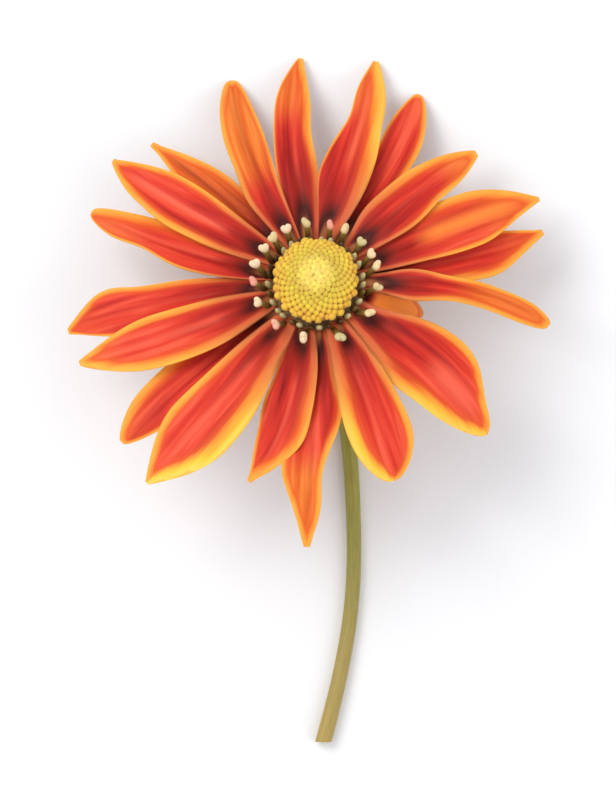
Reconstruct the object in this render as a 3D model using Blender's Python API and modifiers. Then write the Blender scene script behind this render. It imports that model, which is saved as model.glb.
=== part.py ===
"""A cut gazania flower that lies on a flat surface.

Metres, +Z up. The head is tipped over towards +Y and leans on the tips of two of its petals. The
stem leaves the cup under the head, bends down to the surface and runs along it towards -Y. Seen
from straight above, the flower looks the way a flower in a vase looks from the front.
"""
import math
from typing import NamedTuple

import bmesh
import bpy
from mathutils import Matrix, Vector

MM = 0.001
MERGE = 0.00001

# Where the middle of the disc lies, seen from above, so that the whole flower is centred
MIDDLE_X = 1.3 * MM
MIDDLE_Y = 20.4 * MM

# The head: its petals spring from one tilted plane
TILT = math.radians(22)
PLANE_HEIGHT = 20.5 * MM
HEAD_BACK = 0.9 * MM  # the disc stands above the plane, so the plane's middle lies nearer the stem

# The receptacle that the petals grow from, as heights above the plane
PLATE_TOP = 0.2 * MM
PLATE_DEPTH = 1.6 * MM
PLATE_RADIUS = 9.1 * MM
PLATE_FOOT_RADIUS = 8.3 * MM
PLATE_SIDES = 40
GAP = 0.3 * MM

# The petals
BLADE = 0.65 * MM
ROOT_RADIUS = 6.4 * MM
ROOT_HALF = 1.3 * MM
TIP_HALF = 0.3 * MM
ROOT_DEPTH = 0.15 * MM
ROOT_STEP = 0.3 * MM
LAYER_STEP = 1.25 * MM
LAYERS_APART = 0.28
ARCH = 2.2 * MM
ARCH_END = 0.36
CHANNEL = 0.4 * MM
DROOP_POWER = 2.6
TWIST_START = 0.2
TWIST_END = 0.65
BUMP_SPREAD = 0.13
CELLS_ALONG = 14
CELLS_ACROSS = 4

# The open florets round the disc, by their directions in degrees anticlockwise from +X
OPEN_TURNS = (12, 25, 41, 61, 75, 98, 119, 134, 149, 167, 184, 205, 232, 259, 291, 325, 352)
OPEN_PLATE = 0.7 * MM
OPEN_RADIUS = 8.6 * MM
OPEN_LENGTH = 3.9 * MM
OPEN_LEAN = math.radians(28)
OPEN_LEAN_SWING = math.radians(8)  # the lowest ones lean out this much further, the highest this much less
OPEN_SINK = 0.4 * MM
OPEN_SIDES = 6
OPEN_OUTLINE = ((0.0, 0.5), (0.45, 0.5), (0.75, 0.78), (0.93, 0.7), (1.0, 0.4))

# The disc of closed florets
DISC_RADIUS = 7.4 * MM
DISC_HEIGHT = 3.8 * MM
DISC_FLORETS = 76
DISC_RELIEF = 0.32 * MM
GOLDEN_ANGLE = math.pi * (3 - math.sqrt(5))

# The cup under the head, as depths below its rim and radii
CUP_OUTLINE = (
    (0.0, 8.2), (1.0, 7.9), (3.0, 7.4), (5.2, 7.1),
    (7.2, 6.4), (9.0, 5.0), (10.4, 3.3), (11.6, 2.1),
)
CUP_RIBS = 16
CUP_STEPS = 3 * CUP_RIBS
RIB_HEIGHT = 0.3 * MM


class Bump(NamedTuple):
    """A place where a petal's margin swells out, or draws in where the size is below 0."""

    side: int  # 1 on the anticlockwise margin, -1 on the clockwise one
    along: float
    size: float  # in mm


class Petal(NamedTuple):
    """One petal, as seen from above: angles in degrees anticlockwise from +X, sizes in mm."""

    root: float
    middle: float
    tip: float
    reach: float  # from the middle of the disc to the tip
    width: float
    layer: int  # 0 lies in front, 2 at the back
    droop: float = 3.0  # how far the tip hangs below the plane
    widest: float = 0.6  # where the blade is widest, from 0 at the root to 1 at the tip
    point: float = 0.9  # a small value gives a blunt tip, a large one a drawn-out tip
    lean: float = 0.0  # makes the blade fuller on its anticlockwise side
    twist: float = 0.0  # slope across the outer blade
    bumps: tuple = ()


PETALS = (
    Petal(-3, -3.6, -11.2, 40.4, 4.4, layer=0, widest=0.78, point=0.5, twist=0.9,
          bumps=(Bump(1, 0.3, 0.9), Bump(1, 0.75, -0.4), Bump(-1, 0.3, 0.9))),
    Petal(6.5, 8.5, 12.2, 40.0, 8.0, layer=2, droop=4.0, widest=0.55, bumps=(Bump(-1, 0.72, 0.7),)),
    Petal(20, 22, 20.3, 41.0, 9.4, layer=1, widest=0.64, point=1.1),
    Petal(40, 41, 38.9, 35.5, 8.2, layer=0, widest=0.55,
          bumps=(Bump(1, 0.25, 0.6), Bump(-1, 0.62, -0.5), Bump(-1, 0.9, 0.5))),
    Petal(58.5, 58.5, 61.2, 37.3, 6.9, layer=2, droop=5.95, widest=0.7, point=0.65, lean=-0.12),
    Petal(78, 74.3, 74.7, 39.8, 8.6, layer=0, droop=5.7, widest=0.52, point=0.8, lean=-0.08,
          bumps=(Bump(1, 0.33, 0.6), Bump(1, 0.68, -1.2), Bump(-1, 0.66, -0.6))),
    Petal(100, 99, 93.8, 39.0, 7.2, layer=1, droop=4.3, widest=0.56, point=0.8,
          bumps=(Bump(1, 0.8, 0.3), Bump(-1, 0.1, 0.25), Bump(-1, 0.36, 0.4), Bump(-1, 0.62, -0.6))),
    Petal(121, 118, 112.6, 38.0, 6.7, layer=0, droop=7.45, widest=0.66, point=0.45, twist=0.35,
          bumps=(Bump(1, 0.35, 0.8),)),
    Petal(136, 138, 139.9, 37.0, 6.8, layer=2, droop=4.0, widest=0.55, point=1.2),
    Petal(150, 151, 149.3, 40.6, 8.8, layer=0, droop=2.5, widest=0.65, bumps=(Bump(1, 0.75, -0.6),)),
    Petal(169.5, 166.5, 162.8, 40.3, 6.8, layer=1, point=0.55, twist=0.3, bumps=(Bump(1, 0.7, -1.1),)),
    Petal(186.5, 188.3, 191.6, 43.2, 7.2, layer=2, droop=5.0, widest=0.7, bumps=(Bump(-1, 0.8, 1.5),)),
    Petal(202.5, 201, 199.4, 42.6, 9.2, layer=0, widest=0.58, lean=0.06),
    Petal(215.5, 217.2, 220, 43.0, 8.2, layer=2, droop=6.0, widest=0.62, point=0.65,
          bumps=(Bump(-1, 0.82, 0.5),)),
    Petal(233, 231.8, 230.3, 44.7, 11.4, layer=0, droop=4.0, widest=0.66, lean=0.06,
          bumps=(Bump(1, 0.45, 0.4),)),
    Petal(257, 258.3, 251.7, 36.1, 8.0, layer=1, droop=6.0, widest=0.55, point=1.1,
          bumps=(Bump(1, 0.7, 0.5), Bump(-1, 0.5, 0.4), Bump(-1, 0.85, 0.5))),
    Petal(271, 268.7, 268.1, 45.3, 7.4, layer=2, droop=8.0, widest=0.58,
          bumps=(Bump(1, 0.1, 0.25), Bump(1, 0.4, 1.5), Bump(1, 0.68, -1.4), Bump(-1, 0.66, 1.2))),
    Petal(294, 292.9, 291.1, 36.6, 10.6, layer=0, droop=6.0, widest=0.72, point=0.55, lean=0.06,
          bumps=(Bump(1, 0.45, 0.2),)),
    Petal(324, 324, 317.8, 39.2, 12.8, layer=1, droop=6.0, point=0.6,
          bumps=(Bump(1, 0.2, -0.9), Bump(1, 0.86, -1.5), Bump(-1, 0.08, 0.5), Bump(-1, 0.45, 0.5))),
    Petal(342, 342, 343, 19.4, 7.0, layer=2, droop=11.0, widest=0.55, point=0.8),
)


class Bracts(NamedTuple):
    """One row of pointed bract tips on the cup, in mm, with depths below the rim."""

    name: str
    count: int
    turn: float  # of a step, so that the rows alternate
    root: tuple  # radius and depth
    bend: tuple
    tip: tuple
    half_width: float


BRACT_ROWS = (
    Bracts("upper", 18, 0.0, root=(7.0, 1.9), bend=(9.2, 1.5), tip=(10.9, 1.0), half_width=1.0),
    Bracts("lower", 16, 0.5, root=(6.6, 5.2), bend=(8.1, 4.0), tip=(9.4, 2.6), half_width=0.9),
)
BRACT_THICKNESS = 0.7 * MM
BRACT_TIP_HALF = 0.25 * MM


class Station(NamedTuple):
    """One point of the stem, in mm from the point of the surface under the middle of the disc."""

    x: float
    y: float
    clear: float  # height of the stem's underside over the surface
    radius: float


STALK = (
    Station(5.5, -25.7, 0.0, 1.4),
    Station(6.6, -41.9, 0.0, 1.3),
    Station(6.3, -54.9, 0.0, 1.3),
    Station(4.5, -66.8, 0.0, 1.35),
    Station(1.2, -80.3, 0.0, 1.45),
    Station(-1.6, -90.0, 0.0, 1.5),
)
NECK_RADIUS = 1.55
NECK_BEND_STEPS = 3
NECK_DRIFT = 2.9  # how far the bend carries the stem sideways, in mm
STEM_POINTS_A_STATION = 3
STEM_SIDES = 8
CUT_SLANT = math.radians(14)
CUT_BACK = 0.6 * MM


def clear_scene():
    """Empties the scene of whatever a new file brings."""
    for old in list(bpy.data.objects):
        bpy.data.objects.remove(old, do_unlink=True)


def new_collection(name):
    """Adds a collection to the scene."""
    collection = bpy.data.collections.new(name)
    bpy.context.scene.collection.children.link(collection)
    return collection


def new_material(name, colour, roughness):
    """Makes the plain finish of one node."""
    material = bpy.data.materials.new(name)
    material.use_nodes = True
    shader = material.node_tree.nodes["Principled BSDF"]
    shader.inputs["Base Color"].default_value = (*colour, 1.0)
    shader.inputs["Roughness"].default_value = roughness
    shader.inputs["Metallic"].default_value = 0.0
    return material


def new_empty(name, collection, location, parent=None):
    """Adds an empty that pieces are placed by."""
    empty = bpy.data.objects.new(name, None)
    empty.location = location
    empty.parent = parent
    collection.objects.link(empty)
    return empty


def new_piece(name, mesh, collection, parent, location=(0.0, 0.0, 0.0)):
    """Adds a mesh object under a parent."""
    piece = bpy.data.objects.new(name, mesh)
    piece.parent = parent
    piece.location = location
    collection.objects.link(piece)
    return piece


def mesh_of(shape, name):
    """Turns a finished bmesh into a mesh."""
    mesh = bpy.data.meshes.new(name)
    shape.to_mesh(mesh)
    shape.free()
    return mesh


def bake(piece):
    """Makes the outcome of a piece's modifiers its own mesh."""
    bpy.context.view_layer.update()
    depsgraph = bpy.context.evaluated_depsgraph_get()
    mesh = bpy.data.meshes.new_from_object(piece.evaluated_get(depsgraph))
    piece.modifiers.clear()
    piece.data = mesh


def join_repeats(body, repeats):
    """Joins a collection of repeated pieces to the body that they grow from."""
    union = body.modifiers.new("repeats", "BOOLEAN")
    union.operation = "UNION"
    union.operand_type = "COLLECTION"
    union.collection = repeats
    union.solver = "EXACT"
    bake(body)
    for repeat in list(repeats.objects):
        bpy.data.objects.remove(repeat, do_unlink=True)
    bpy.data.collections.remove(repeats)


def dress(piece, colour, roughness, sharp=math.radians(40)):
    """Gives a node its one material and its shading."""
    piece.data.materials.clear()
    piece.data.materials.append(new_material(piece.name, colour, roughness))
    piece.data.shade_smooth()
    piece.data.set_sharp_from_angle(angle=sharp)


def ease(share):
    """Goes from 0 to 1 with a soft start and end."""
    share = min(max(share, 0.0), 1.0)
    return share * share * (3 - 2 * share)


def petal_angle(petal, along):
    """Direction of the petal's midline at a share of its length."""
    root = petal.root * (1 - along) * (1 - 2 * along)
    middle = petal.middle * 4 * along * (1 - along)
    tip = petal.tip * along * (2 * along - 1)
    return math.radians(root + middle + tip)


def petal_midline(petal, along):
    """Point of the petal's midline, seen from above."""
    radius = ROOT_RADIUS + (petal.reach * MM - ROOT_RADIUS) * along
    angle = petal_angle(petal, along)
    return Vector((radius * math.cos(angle), radius * math.sin(angle)))


def petal_half_width(petal, along, side):
    """Half the petal's width at a share of its length, on one side of its midline."""
    full = petal.width * MM / 2
    if along < petal.widest:
        swell = math.sin(math.pi / 2 * along / petal.widest)
        half_width = ROOT_HALF + (full - ROOT_HALF) * swell
    else:
        left = (along - petal.widest) / (1 - petal.widest)
        half_width = TIP_HALF + (full - TIP_HALF) * math.cos(math.pi / 2 * left) ** petal.point
    half_width *= 1 + petal.lean * side
    for bump in petal.bumps:
        if bump.side * side > 0:
            half_width += bump.size * MM * math.exp(-((along - bump.along) / BUMP_SPREAD) ** 2)
    return max(half_width, TIP_HALF)


def petal_lift(petal, along, side, half_width):
    """Height of the petal's upper face over the tilted plane, at a place along and across it."""
    behind = ROOT_STEP + (LAYER_STEP - ROOT_STEP) * ease(along / LAYERS_APART)
    lift = -ROOT_DEPTH - petal.layer * behind
    lift += ARCH * ease(along / ARCH_END)
    lift += CHANNEL * side * side * ease(along / ARCH_END) * (1 - along)
    slope = petal.twist * ease((along - TWIST_START) / (TWIST_END - TWIST_START))
    lift += slope * side * half_width
    return lift - petal.droop * MM * along ** DROOP_POWER


def petal_point(petal, along, side):
    """Point of the petal's upper face, from the middle of the disc and the surface it lies on."""
    step = 0.01
    heading = petal_midline(petal, along + step) - petal_midline(petal, along - step)
    heading.normalize()
    half_width = petal_half_width(petal, along, side)
    across = Vector((-heading.y, heading.x)) * half_width * side
    place = petal_midline(petal, along) + across
    height = PLANE_HEIGHT - (place.y + HEAD_BACK) * math.tan(TILT)
    return Vector((place.x, place.y, height + petal_lift(petal, along, side, half_width)))


def petal_blade(petal, number, repeats, root):
    """One petal: a shaped grid with a real thickness below its upper face."""
    shape = bmesh.new()
    bmesh.ops.create_grid(shape, x_segments=CELLS_ALONG, y_segments=CELLS_ACROSS, size=1)
    for vertex in shape.verts:
        vertex.co = petal_point(petal, (vertex.co.x + 1) / 2, vertex.co.y)
    bmesh.ops.triangulate(shape, faces=shape.faces[:])
    name = f"petal_{number}"
    blade = new_piece(name, mesh_of(shape, name), repeats, root)
    thicken(blade, BLADE, offset=-1)


def thicken(piece, thickness, offset):
    """Gives an open surface a real thickness."""
    wall = piece.modifiers.new("thickness", "SOLIDIFY")
    wall.thickness = thickness
    wall.offset = offset


def cut_off(shape, place, outward):
    """Cuts off what lies outward of a plane and closes the cut with one flat face."""
    whole = shape.verts[:] + shape.edges[:] + shape.faces[:]
    bmesh.ops.bisect_plane(shape, geom=whole, dist=MERGE, plane_co=place, plane_no=outward, clear_outer=True)
    rim = [edge for edge in shape.edges if edge.is_boundary]
    bmesh.ops.contextual_create(shape, geom=rim)
    bmesh.ops.recalc_face_normals(shape, faces=shape.faces[:])


def round_plate(name, collection, head, top, depth, foot_radius):
    """A round plate across the head's axis, with its upper face at a height over the plane."""
    shape = bmesh.new()
    bmesh.ops.create_cone(
        shape, cap_ends=True, segments=PLATE_SIDES, radius1=foot_radius, radius2=PLATE_RADIUS, depth=depth
    )
    bmesh.ops.translate(shape, verts=shape.verts, vec=(0, 0, top - depth / 2))
    return new_piece(name, mesh_of(shape, name), collection, head)


def turned(name, outline, steps, collection, parent):
    """A solid turned from its outline, listed from the top of its axis down its outer side."""
    shape = bmesh.new()
    points = [shape.verts.new((radius, 0, height)) for radius, height in outline]
    for upper, lower in zip(points, points[1:]):
        shape.edges.new((upper, lower))
    piece = new_piece(name, mesh_of(shape, name), collection, parent)
    screw = piece.modifiers.new("turn", "SCREW")
    screw.steps = steps
    screw.render_steps = steps
    screw.use_merge_vertices = True
    screw.merge_threshold = MERGE
    bake(piece)
    return piece


def ray_florets(collection, root, head):
    """The petals, grown from the edge of the receptacle."""
    plate = round_plate("ray_florets", collection, head, PLATE_TOP, PLATE_DEPTH, PLATE_FOOT_RADIUS)
    repeats = new_collection("petals")
    for number, petal in enumerate(PETALS, start=1):
        petal_blade(petal, number, repeats, root)
    join_repeats(plate, repeats)
    dress(plate, (0.80, 0.08, 0.03), 0.55)


def open_florets(collection, head):
    """The ring of open florets: dark tubes with swollen tips, leaning out from a thin plate."""
    top = PLATE_TOP + GAP + OPEN_PLATE
    plate = round_plate("open_florets", collection, head, top, OPEN_PLATE, PLATE_RADIUS)
    repeats = new_collection("open_floret_tubes")
    outline = [(0.0, OPEN_LENGTH)]
    outline += [(radius * MM, share * OPEN_LENGTH) for share, radius in reversed(OPEN_OUTLINE)]
    outline += [(0.0, 0.0)]
    pattern = turned("tube", outline, OPEN_SIDES, repeats, head)
    for degrees in OPEN_TURNS:
        turn = math.radians(degrees)
        place = (OPEN_RADIUS * math.cos(turn), OPEN_RADIUS * math.sin(turn), top - OPEN_SINK)
        tube = new_piece(f"tube_{degrees}", pattern.data, repeats, head, place)
        tube.rotation_euler = (0, OPEN_LEAN - OPEN_LEAN_SWING * math.sin(turn), turn)
    bpy.data.objects.remove(pattern, do_unlink=True)
    join_repeats(plate, repeats)
    dress(plate, (0.10, 0.06, 0.02), 0.6)


def disc_relief(place):
    """How far the disc's surface lies below the tops of its closed florets, seen from above."""
    spacing = DISC_RADIUS * math.sqrt(math.pi / DISC_FLORETS)
    nearest = spacing
    for number in range(DISC_FLORETS):
        radius = DISC_RADIUS * math.sqrt((number + 0.5) / DISC_FLORETS)
        angle = number * GOLDEN_ANGLE
        floret = Vector((radius * math.cos(angle), radius * math.sin(angle)))
        nearest = min(nearest, (place - floret).length)
    return DISC_RELIEF * min(nearest / (spacing / 2), 1.0) ** 2


def disc_florets(collection, head):
    """The dome of closed florets, packed in spirals and raised from its surface."""
    foot = PLATE_TOP + GAP + OPEN_PLATE + GAP
    shape = bmesh.new()
    bmesh.ops.create_icosphere(shape, subdivisions=5, radius=1)
    cut_off(shape, place=(0, 0, 0), outward=(0, 0, -1))
    for vertex in shape.verts:
        outward = vertex.co.normalized()
        place = Vector((vertex.co.x * DISC_RADIUS, vertex.co.y * DISC_RADIUS))
        sink = disc_relief(place) * ease(vertex.co.z / 0.15)
        vertex.co = Vector((place.x, place.y, foot + vertex.co.z * DISC_HEIGHT)) - outward * sink
    bmesh.ops.triangulate(shape, faces=shape.faces[:])
    disc = new_piece("disc_florets", mesh_of(shape, "disc_florets"), collection, head)
    dress(disc, (0.90, 0.55, 0.08), 0.7)


def bract_tip(row, rim, name, repeats, head):
    """One free tip of a bract: a pointed blade that leaves the cup and bends outwards."""
    shape = bmesh.new()
    bmesh.ops.create_grid(shape, x_segments=2, y_segments=1, size=1)
    for vertex in shape.verts:
        along = round(vertex.co.x + 1)
        radius, depth = (row.root, row.bend, row.tip)[along]
        half_width = (row.half_width * MM, row.half_width * MM * 0.75, BRACT_TIP_HALF)[along]
        vertex.co = Vector((radius * MM, vertex.co.y * half_width, rim - depth * MM))
    bmesh.ops.triangulate(shape, faces=shape.faces[:])
    blade = new_piece(name, mesh_of(shape, name), repeats, head)
    thicken(blade, BRACT_THICKNESS, offset=0)
    bake(blade)
    return blade


def involucre(collection, head):
    """The ribbed green cup under the head, with two rows of free bract tips."""
    rim = PLATE_TOP - PLATE_DEPTH - GAP
    outline = [(0.0, rim)]
    outline += [(radius * MM, rim - depth * MM) for depth, radius in CUP_OUTLINE]
    outline += [(0.0, outline[-1][1])]
    cup = turned("involucre", outline, CUP_STEPS, collection, head)
    for vertex in cup.data.vertices:
        flat = Vector((vertex.co.x, vertex.co.y, 0))
        if flat.length > CUP_OUTLINE[-1][1] * MM + GAP:
            vertex.co += flat.normalized() * RIB_HEIGHT * math.cos(CUP_RIBS * math.atan2(flat.y, flat.x))
    repeats = new_collection("bract_tips")
    for row in BRACT_ROWS:
        pattern = bract_tip(row, rim, f"{row.name}_bract", repeats, head)
        for number in range(row.count):
            blade = new_piece(f"{row.name}_bract_{number}", pattern.data, repeats, head)
            blade.rotation_euler = (0, 0, 2 * math.pi * (number + row.turn) / row.count)
        bpy.data.objects.remove(pattern, do_unlink=True)
    join_repeats(cup, repeats)
    dress(cup, (0.20, 0.19, 0.05), 0.65)


def between(stations, share):
    """A place on the smooth curve through the middle two of four stations."""
    square, cube = share * share, share * share * share
    weights = (
        (-share + 2 * square - cube) / 2,
        (2 - 5 * square + 3 * cube) / 2,
        (share + 4 * square - 3 * cube) / 2,
        (cube - square) / 2,
    )
    return [sum(w * value for w, value in zip(weights, values)) for values in zip(*stations)]


def neck():
    """Stations of the bend that leads from the cup's foot down to the surface."""
    below = PLATE_DEPTH - PLATE_TOP + GAP + CUP_OUTLINE[-1][0] * MM + GAP
    start_y = (-HEAD_BACK - below * math.sin(TILT)) / MM
    start_height = (PLANE_HEIGHT - below * math.cos(TILT)) / MM
    flat_radius = NECK_RADIUS * math.cos(math.pi / STEM_SIDES)
    bend = (start_height - flat_radius) / (1 - math.sin(TILT))
    lead_y = start_y + bend * math.sin(TILT)
    lead_clear = start_height - flat_radius + bend * math.cos(TILT)
    stations = [Station(0.0, lead_y, lead_clear, NECK_RADIUS)]
    for step in range(NECK_BEND_STEPS + 1):
        share = step / NECK_BEND_STEPS
        turn = TILT + (math.pi / 2 - TILT) * share
        y = start_y - bend * (math.cos(TILT) - math.cos(turn))
        clear = bend * (1 - math.sin(turn))
        stations.append(Station(NECK_DRIFT * share ** 2, y, clear, NECK_RADIUS))
    return stations


def stem_route():
    """Points and radii along the stem. Its first and last stations only steer the ends."""
    stations = [*neck(), *STALK]
    flat = math.cos(math.pi / STEM_SIDES)
    route = []
    for start in range(len(stations) - 3):
        for step in range(STEM_POINTS_A_STATION):
            x, y, clear, radius = between(stations[start:start + 4], step / STEM_POINTS_A_STATION)
            route.append((x * MM, y * MM, (max(clear, 0.0) + radius * flat) * MM, radius))
    x, y, clear, radius = stations[-2]
    route.append((x * MM, y * MM, (clear + radius * flat) * MM, radius))
    return route


def stem(collection, root):
    """The leafless stalk: one facet of it lies flat on the surface, and its end is cut aslant."""
    curve = bpy.data.curves.new("stem_route", "CURVE")
    curve.dimensions = "3D"
    curve.twist_mode = "Z_UP"
    curve.bevel_depth = MM
    curve.bevel_resolution = 2
    curve.use_fill_caps = True
    route = stem_route()
    spline = curve.splines.new("POLY")
    spline.points.add(len(route) - 1)
    for point, (x, y, z, radius) in zip(spline.points, route):
        point.co = (x, y, z, 1.0)
        point.radius = radius
        point.tilt = math.pi / STEM_SIDES
    guide = new_piece("stem_route", curve, collection, root)
    bpy.context.view_layer.update()
    depsgraph = bpy.context.evaluated_depsgraph_get()
    tube = bpy.data.meshes.new_from_object(guide.evaluated_get(depsgraph))
    shape = bmesh.new()
    shape.from_mesh(tube)
    bmesh.ops.remove_doubles(shape, verts=shape.verts, dist=MERGE)
    end = Vector(route[-1][:3])
    heading = (end - Vector(route[-2][:3])).normalized()
    slanted = Matrix.Rotation(CUT_SLANT, 3, "Z") @ heading
    cut_off(shape, place=end - heading * CUT_BACK, outward=slanted)
    stalk = new_piece("stem", mesh_of(shape, "stem"), collection, root)
    bpy.data.objects.remove(guide, do_unlink=True)
    dress(stalk, (0.27, 0.24, 0.05), 0.6)


def main():
    """Builds the flower."""
    clear_scene()
    collection = new_collection("gazania")
    root = new_empty("flower", collection, (MIDDLE_X, MIDDLE_Y, 0))
    head = new_empty("head", collection, (0, -HEAD_BACK, PLANE_HEIGHT), root)
    head.rotation_euler = (-TILT, 0, 0)
    stem(collection, root)
    involucre(collection, head)
    ray_florets(collection, root, head)
    open_florets(collection, head)
    disc_florets(collection, head)


main()
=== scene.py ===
"""The looks of a cut gazania flower that lies on a pale floor.

Every piece is in metres, +Z up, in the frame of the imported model. The head is tipped over towards
+Y and the camera looks straight down on it, so that it sees the flower from its front.
"""

import logging
import math
import random
from dataclasses import dataclass
from enum import Enum, IntEnum
from typing import Any, Iterable, Sequence

import bmesh
import bpy
from mathutils import Matrix, Vector


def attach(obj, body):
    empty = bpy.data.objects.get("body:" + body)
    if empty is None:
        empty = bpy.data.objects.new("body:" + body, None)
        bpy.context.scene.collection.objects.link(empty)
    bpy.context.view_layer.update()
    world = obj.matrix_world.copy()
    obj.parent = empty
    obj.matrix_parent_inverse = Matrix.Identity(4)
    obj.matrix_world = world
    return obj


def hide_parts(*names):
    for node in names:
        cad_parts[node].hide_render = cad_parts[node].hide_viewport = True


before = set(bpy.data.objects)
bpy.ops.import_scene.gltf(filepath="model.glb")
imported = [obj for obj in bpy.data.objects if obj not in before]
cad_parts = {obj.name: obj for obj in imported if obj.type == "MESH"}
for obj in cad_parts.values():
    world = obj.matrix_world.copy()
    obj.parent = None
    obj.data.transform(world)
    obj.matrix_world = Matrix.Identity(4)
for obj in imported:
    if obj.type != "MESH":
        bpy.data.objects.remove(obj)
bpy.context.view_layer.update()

LOG = logging.getLogger("gazania")
MM = 0.001
MERGE = 0.002 * MM  # points closer than this are one
SEED = 7
SHARP = math.radians(50)  # between two faces, from which their edge isn't smoothed
GOLDEN_ANGLE = math.pi * (3 - math.sqrt(5))
NOISE = (0.3, 0.7)  # most of a noise's values lie between these

Stops = Sequence[tuple[float, str]]  # the places and hex colours of a ramp
Outline = Sequence[tuple[float, float]]  # the radii and heights of a turned shape
Span = tuple[float, float]  # the two ends of a range
Rates = tuple[float, float, float]  # how often a pattern repeats, in three directions


class Part(Enum):
    """The CAD nodes, each with the material slot for its finish."""

    STEM = ("stem", "stalk")
    CUP = ("involucre", "cup")
    PETALS = ("ray_florets", "petal")
    OPEN = ("open_florets", "open_floret")
    DISC = ("disc_florets", "disc_floret")


class Layer(IntEnum):
    """How far behind the front petals a petal lies."""

    FRONT = 0
    MIDDLE = 1
    BACK = 2


def ease(share: float) -> float:
    """Goes from 0 to 1 with a soft start and end."""
    share = min(max(share, 0.0), 1.0)
    return share * share * (3 - 2 * share)


def between(span: Span, value: float) -> float:
    """Goes softly from 0 at a span's first end to 1 at its second."""
    return ease((value - span[0]) / (span[1] - span[0]))


def through(start: float, middle: float, end: float, share: float) -> float:
    """Follows a smooth curve through three values.

    Args:
        start: the value at a share of 0.
        middle: the value halfway.
        end: the value at a share of 1.
        share: how far along, from 0 to 1.

    Returns:
        The value there.
    """
    first = start * (1 - share) * (1 - 2 * share)
    return first + middle * 4 * share * (1 - share) + end * share * (2 * share - 1)


def linear(code: str) -> tuple[float, float, float, float]:
    """Turns an sRGB hex colour into the linear colour that the renderer uses.

    Args:
        code: such as "#ff8800".

    Returns:
        Red, green, blue and an alpha of 1.
    """
    channels = [int(code[at:at + 2], 16) / 255 for at in (1, 3, 5)]
    return (*((c / 12.92 if c <= 0.04045 else ((c + 0.055) / 1.055) ** 2.4) for c in channels), 1.0)


def connect(tree: bpy.types.NodeTree, node: bpy.types.Node, inputs: dict[str | int, Any]) -> None:
    """Links a node's inputs or sets their values.

    Args:
        tree: the material's nodes.
        node: the node.
        inputs: an output to link or a value to set, by the input's name or number.
    """
    for key, value in inputs.items():
        if isinstance(value, bpy.types.NodeSocket):
            tree.links.new(value, node.inputs[key])
        else:
            node.inputs[key].default_value = value


def add_node(
    tree: bpy.types.NodeTree,
    kind: str,
    inputs: dict[str | int, Any] | None = None,
    stops: Stops = (),
    **settings: Any,
) -> bpy.types.Node:
    """Adds a node to a material, with its settings and links.

    A MapRange takes its value at 0, the range that comes in at 1 and 2, and the range that goes out
    at 3 and 4. A Mix of colours takes its share at 0 and the two colours at 6 and 7.

    Args:
        tree: the material's nodes.
        kind: the node's type, without the word ShaderNode.
        inputs: an output to link or a value to set, by the input's name or number.
        stops: the places and hex colours of a colour ramp.
        settings: the node's own settings.

    Returns:
        The new node.
    """
    node = tree.nodes.new(f"ShaderNode{kind}")
    for name, value in settings.items():
        setattr(node, name, value)
    connect(tree, node, inputs or {})
    for number, (place, code) in enumerate(stops):
        elements = node.color_ramp.elements
        element = elements[number] if number < 2 else elements.new(place)
        element.position = place
        element.color = linear(code)
    return node


def new_material(name: str) -> tuple[bpy.types.Material, bpy.types.NodeTree, bpy.types.Node]:
    """Starts a material.

    Args:
        name: what the finish is.

    Returns:
        The material, its nodes and its main shader.
    """
    material = bpy.data.materials.new(name)
    material.use_nodes = True
    return material, material.node_tree, material.node_tree.nodes["Principled BSDF"]


def mesh_of(shape: bmesh.types.BMesh, name: str, sharp: float = SHARP) -> bpy.types.Mesh:
    """Turns a finished bmesh into a smooth mesh.

    Args:
        shape: the bmesh, which is freed.
        name: the mesh's name.
        sharp: the angle between two faces from which their edge stays sharp.

    Returns:
        The mesh.
    """
    mesh = bpy.data.meshes.new(name)
    shape.to_mesh(mesh)
    shape.free()
    mesh.shade_smooth()
    mesh.set_sharp_from_angle(angle=sharp)
    return mesh


def add_piece(
    name: str, mesh: bpy.types.Mesh, part: Part, materials: Iterable[bpy.types.Material]
) -> bpy.types.Object:
    """Adds a finished piece that stands for a CAD node.

    Args:
        name: the piece's name.
        mesh: its mesh, in place.
        part: the CAD node that it replaces.
        materials: its finishes, in the order of the mesh's material numbers, unless it has them.

    Returns:
        The new object.
    """
    node, slot = part.value
    piece = bpy.data.objects.new(name, mesh)
    bpy.context.scene.collection.objects.link(piece)
    for material in materials:
        mesh.materials.append(material)
    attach(piece, "root")
    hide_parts(node)
    LOG.info("%s: %d faces", name, len(mesh.polygons))
    return piece


def turned(outline: Outline, steps: int, name: str) -> bpy.types.Mesh:
    """Turns an outline round the Z axis into a closed solid.

    Args:
        outline: radii and heights, from the top of the axis down the outer side to its foot.
        steps: how many faces go round.
        name: the mesh's name.

    Returns:
        The solid's mesh.
    """
    shape = bmesh.new()
    points = [shape.verts.new((radius, 0, height)) for radius, height in outline]
    edges = [shape.edges.new(pair) for pair in zip(points, points[1:])]
    bmesh.ops.spin(
        shape, geom=points + edges, cent=(0, 0, 0), axis=(0, 0, 1), dvec=(0, 0, 0),
        angle=2 * math.pi, steps=steps, use_merge=True,
    )
    bmesh.ops.remove_doubles(shape, verts=shape.verts, dist=MERGE)
    bmesh.ops.recalc_face_normals(shape, faces=shape.faces)
    return mesh_of(shape, name)


def add_copy(shape: bmesh.types.BMesh, pattern: bpy.types.Mesh) -> list[bmesh.types.BMVert]:
    """Adds one more copy of a pattern to a bmesh.

    Args:
        shape: the bmesh.
        pattern: the mesh to copy.

    Returns:
        The copy's vertices, still in the pattern's own place.
    """
    first = len(shape.verts)
    shape.from_mesh(pattern)
    shape.verts.ensure_lookup_table()
    return shape.verts[first:]


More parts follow.
